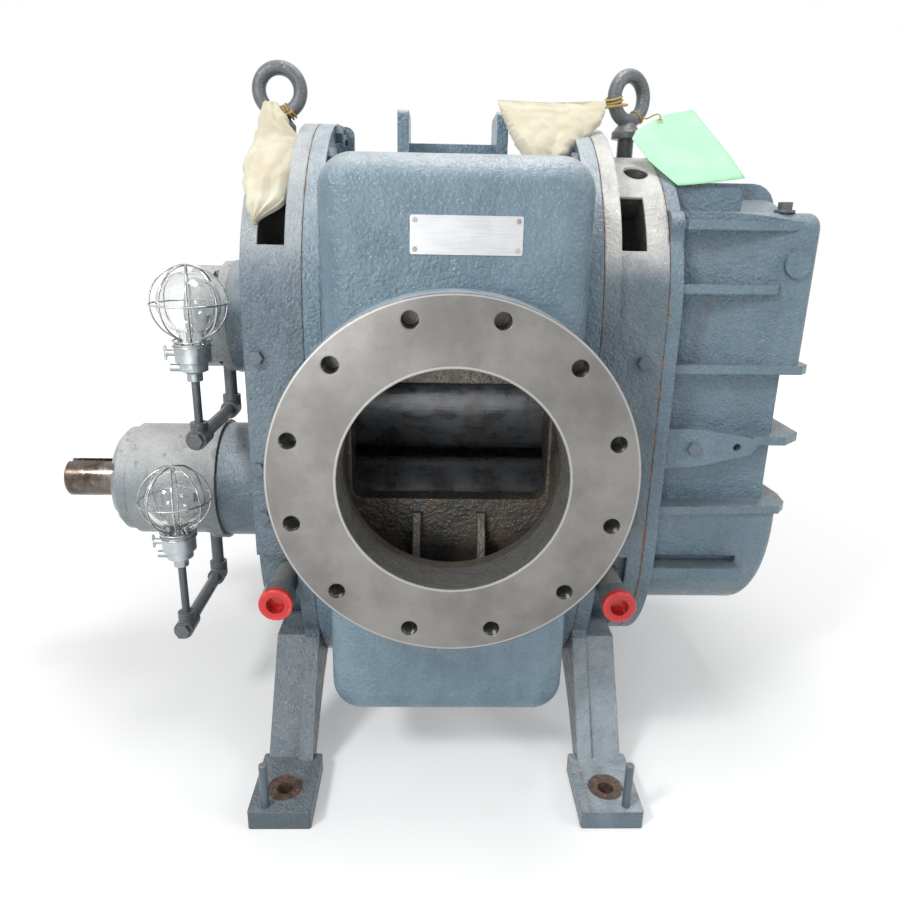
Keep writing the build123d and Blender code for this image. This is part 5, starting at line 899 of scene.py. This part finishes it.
# ---------------------------------------------------------------- tag and strings
TAG_SLOPE = radians(43.8)
TAG_ORIGIN = Vector((0.360, SHAFT_PLANE - 0.138, 0.390))
TAG_UP = Vector((0, cos(TAG_SLOPE), sin(TAG_SLOPE)))
TAG_OUT = Vector((0, -sin(TAG_SLOPE), cos(TAG_SLOPE)))
TAG_WIDTH = 0.104
TAG_HEIGHT = 0.160
TAG_CURL = 0.010
CARD_THICK = 0.0006
EYELET = (-0.26 * TAG_WIDTH, 0.81 * TAG_HEIGHT)
EYELET_HOLE = 0.0026
EYELET_RADIUS = 0.0042
EYELET_WIRE = 0.0011
TAG_STRING_RADIUS = 0.0011
TIE_RADIUS = 0.0018


def tag_place(across, up):
    """A point of the curled card from its flat place."""
    bend = across / TAG_WIDTH
    curl = TAG_CURL * bend ** 2 + TAG_CURL * sin(pi * (up / TAG_HEIGHT + 0.1)) * bend
    lift = 0.0016 + 0.5 * abs(curl)
    return TAG_ORIGIN + Vector((across, 0, 0)) + TAG_UP * up + TAG_OUT * lift


def hang_tag():
    """A curled card cut to the tag's outline, with a reinforced eyelet."""
    outline = [(-0.20, -0.11), (0.80, -0.02), (0.30, 1.00), (-0.20, 0.90), (-0.66, 0.66),
               (-0.75, 0.53), (-0.56, 0.22)]
    corners = [Vector((u * TAG_WIDTH, v * TAG_HEIGHT)) for u, v in outline]
    points, faces = [], []
    # rings of the outline shrinking to the eyelet leave its hole open
    hub = Vector(EYELET)
    levels, steps = 16, 14
    rim = []
    for k, corner in enumerate(corners):
        after = corners[(k + 1) % len(corners)]
        rim += [corner.lerp(after, step / steps) for step in range(steps)]
    for level in range(levels + 1):
        for place in rim:
            toward = place - hub
            hole = hub + toward.normalized() * EYELET_HOLE
            at = place.lerp(hole, level / levels)
            points.append(tag_place(at.x, at.y))
    count = len(rim)
    for level in range(levels):
        here, there = level * count, (level + 1) * count
        for k in range(count):
            n = (k + 1) % count
            faces.append((here + k, here + n, there + n, there + k))
    piece = mesh_piece("hang_tag_card", points, faces, "tag_card")
    solid = piece.modifiers.new("card", "SOLIDIFY")
    solid.thickness = CARD_THICK
    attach(piece, BODY)
    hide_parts("hang_tag")
    middle = tag_place(*EYELET)
    count = 24
    circle = []
    for i in range(count):
        angle = 2 * pi * i / count
        circle.append(middle + Vector((EYELET_RADIUS * cos(angle), 0, 0))
                      + TAG_UP * (EYELET_RADIUS * sin(angle)) + TAG_OUT * CARD_THICK)
    eyelet = wires("hang_tag_eyelet", [(circle, True)], EYELET_WIRE, "canvas")
    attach(eyelet, BODY)


hang_tag()


def ring_point(x, turned, at, off=0.0):
    """A point on an eyebolt's ring centre line, moved outward by off."""
    reach = (EYE_RING + off) * cos(at)
    return Vector((x + reach * cos(turned), SHAFT_PLANE + reach * sin(turned),
                   EYE_CENTRE + (EYE_RING + off) * sin(at)))


def loop_route(x, turned, at, clear, turns):
    """Points of a loop around an eyebolt's wire, ending at its front."""
    centre = ring_point(x, turned, at)
    outward = (ring_point(x, turned, at, 0.01) - centre).normalized()
    toward = Vector((sin(turned), -cos(turned), 0))
    tangent = outward.cross(toward)
    reach = EYE_WIRE + clear
    per_turn = 10
    lead = 2.4 * clear            # advance of each turn along the wire
    count = int(per_turn * turns)
    points = []
    for i in range(count + 1):
        angle = 2 * pi * turns * i / count
        points.append(centre + toward * (reach * cos(angle)) + outward * (reach * sin(angle))
                      + tangent * (lead * (i / per_turn)))
    return points[::-1]


def spline_length(piece):
    """Length of a curve piece's own line."""
    depth = piece.data.bevel_depth
    piece.data.bevel_depth = 0
    line = bpy.data.meshes.new_from_object(piece)
    piece.data.bevel_depth = depth
    ends = [[line.vertices[i].co for i in edge.vertices] for edge in line.edges]
    total = sum((first - second).length for first, second in ends)
    bpy.data.meshes.remove(line)
    return total


def string(name, points, radius):
    """A limp string along a given route."""
    piece = wires(name, [(points, False)], radius, "string")
    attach(piece, BODY)
    spline_length(piece)
    return piece


def strings():
    """The tag's string and the two bag ties."""
    middle = tag_place(*EYELET)
    route = loop_route(GEAR_EYE_X, EYE_TURN, radians(-50.0), 0.0013, 1.1)
    last = route[-1]
    route += [last + Vector((0.004, -0.004, -0.006)),
              middle + TAG_OUT * 0.010 + Vector((-0.006, 0, 0.004)),
              middle + TAG_OUT * 0.006, middle - TAG_OUT * 0.003]
    piece = string("hang_tag_string", route, TAG_STRING_RADIUS)
    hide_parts("tag_string")
    left = loop_route(DRIVE_EYE_X, 0.0, radians(-56.0), 0.0022, 2.0)
    last = left[-1]
    left += [last + Vector((0.002, -0.004, -0.008)), Vector((-0.272, SHAFT_PLANE - 0.034, 0.480)),
             Vector((-0.276, SHAFT_PLANE - 0.040, 0.470))]
    right = loop_route(GEAR_EYE_X, EYE_TURN, radians(203.0), 0.0022, 2.6)
    last = right[-1]
    right += [last + Vector((0.0060, -0.0020, 0.0005)), last + Vector((0.0090, -0.0070, -0.0010)),
              last + Vector((0.0040, -0.0120, -0.0025)), last + Vector((-0.0060, -0.0170, -0.0040)),
              Vector((0.238, SHAFT_PLANE - 0.072, 0.496)),
              Vector((0.232, SHAFT_PLANE - 0.074, 0.492))]
    for name, points in (("drive_bag_tie", left), ("gear_bag_tie", right)):
        piece = string(name, points, TIE_RADIUS)
        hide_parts("bag_ties")


strings()


# ---------------------------------------------------------------- camera
CAMERA_PLACE = (-0.0284206, -0.8748548, 0.3224282)
CAMERA_TURN = (0.0267, -0.3052, 0.0192)          # yaw, pitch and roll, in radians
CAMERA_LENS = 29.16                              # millimetres, for a 36 mm sensor


def camera():
    """The view from the front and a little above."""
    yaw, pitch, roll = CAMERA_TURN
    ahead = Vector((sin(yaw) * cos(pitch), cos(yaw) * cos(pitch), sin(pitch)))
    right = Vector((cos(yaw), -sin(yaw), 0))
    up = right.cross(ahead)
    across = right * cos(roll) + up * sin(roll)
    upward = up * cos(roll) - right * sin(roll)
    turned = Matrix((across, upward, -ahead)).transposed().to_4x4()
    data = bpy.data.cameras.new("camera")
    data.sensor_width = 36.0
    data.lens = CAMERA_LENS
    data.clip_start = 0.05
    data.clip_end = 200.0
    made = new_object("camera", data)
    made.matrix_world = Matrix.Translation(CAMERA_PLACE) @ turned
    bpy.context.scene.camera = made


camera()


# ---------------------------------------------------------------- floor, light and world
def unlit_share(tree):
    """1 for rays that see the background directly, in a mirror or through glass."""
    path = tree.nodes.new("ShaderNodeLightPath")
    seen = path.outputs["Is Camera Ray"]
    for name in ("Is Glossy Ray", "Is Transmission Ray"):
        either = tree.nodes.new("ShaderNodeMath")
        either.operation = "MAXIMUM"
        tree.links.new(seen, either.inputs[0])
        tree.links.new(path.outputs[name], either.inputs[1])
        seen = either.outputs[0]
    return seen


def floor():
    """A wide pale floor that keeps the shadow and glows to white beyond it."""
    reach = 14.0
    height = FLOOR - 0.0004       # just clear of the feet
    segments = 24
    row = segments + 1
    steps = [reach * (2 * i / segments - 1) for i in range(row)]
    points = [Vector((x, y + SHAFT_PLANE, height)) for y in steps for x in steps]
    faces = [(j * row + i, j * row + i + 1, (j + 1) * row + i + 1, (j + 1) * row + i)
             for j in range(segments) for i in range(segments)]
    mesh = bpy.data.meshes.new("floor")
    mesh.from_pydata([tuple(p) for p in points], [], faces)
    made = new_object("floor", mesh)
    finish = bpy.data.materials.new("floor")
    finish.use_nodes = True
    tree = finish.node_tree
    shader = tree.nodes["Principled BSDF"]
    shader.inputs["Base Color"].default_value = (0.80, 0.80, 0.80, 1.0)
    shader.inputs["Roughness"].default_value = 0.9
    shader.inputs["Specular IOR Level"].default_value = 0.0
    distance = tree.nodes.new("ShaderNodeVectorMath")
    distance.operation = "LENGTH"
    tree.links.new(tree.nodes.new("ShaderNodeTexCoord").outputs["Object"], distance.inputs[0])
    level = tree.nodes.new("ShaderNodeMapRange")
    tree.links.new(distance.outputs["Value"], level.inputs["Value"])
    for socket, value in (("From Min", 0.9), ("From Max", 3.2), ("To Min", 0.27), ("To Max", 0.78)):
        level.inputs[socket].default_value = value
    lift = tree.nodes.new("ShaderNodeMath")
    lift.operation = "MULTIPLY"
    tree.links.new(unlit_share(tree), lift.inputs[0])
    tree.links.new(level.outputs["Result"], lift.inputs[1])
    shader.inputs["Emission Color"].default_value = (1.0, 1.0, 1.0, 1.0)
    tree.links.new(lift.outputs[0], shader.inputs["Emission Strength"])
    mesh.materials.append(finish)


def lamp(name, place, aim, size, power):
    """A square soft box."""
    data = bpy.data.lights.new(name, "AREA")
    data.size = size
    data.energy = power
    made = new_object(name, data)
    toward = (Vector(aim) - Vector(place)).normalized()
    turned = toward.to_track_quat("-Z", "Y").to_matrix().to_4x4()
    made.matrix_world = Matrix.Translation(place) @ turned


def world():
    """White where it is seen, a plain grey level where it lights."""
    made = bpy.data.worlds.new("studio")
    bpy.context.scene.world = made
    made.use_nodes = True
    tree = made.node_tree
    background = tree.nodes["Background"]
    background.inputs["Color"].default_value = (1.0, 1.0, 1.0, 1.0)
    level = tree.nodes.new("ShaderNodeMapRange")
    tree.links.new(unlit_share(tree), level.inputs["Value"])
    level.inputs["To Min"].default_value = 0.36
    level.inputs["To Max"].default_value = 1.0
    tree.links.new(level.outputs["Result"], background.inputs["Strength"])


floor()
world()
lamp("key", (-1.7, -1.6, 2.0), (0.0, 0.35, 0.0), 0.6, 50.0)
lamp("top", (0.3, 0.4, 2.4), (0.0, 0.44, 0.0), 0.9, 26.0)
lamp("fill", (2.3, -1.0, 1.3), (0.1, 0.4, 0.0), 1.0, 16.0)
lamp("low", (-0.75, -2.0, 0.2), (-0.1, 0.1, 0.0), 0.5, 12.0)
bpy.context.scene.view_settings.view_transform = "Standard"
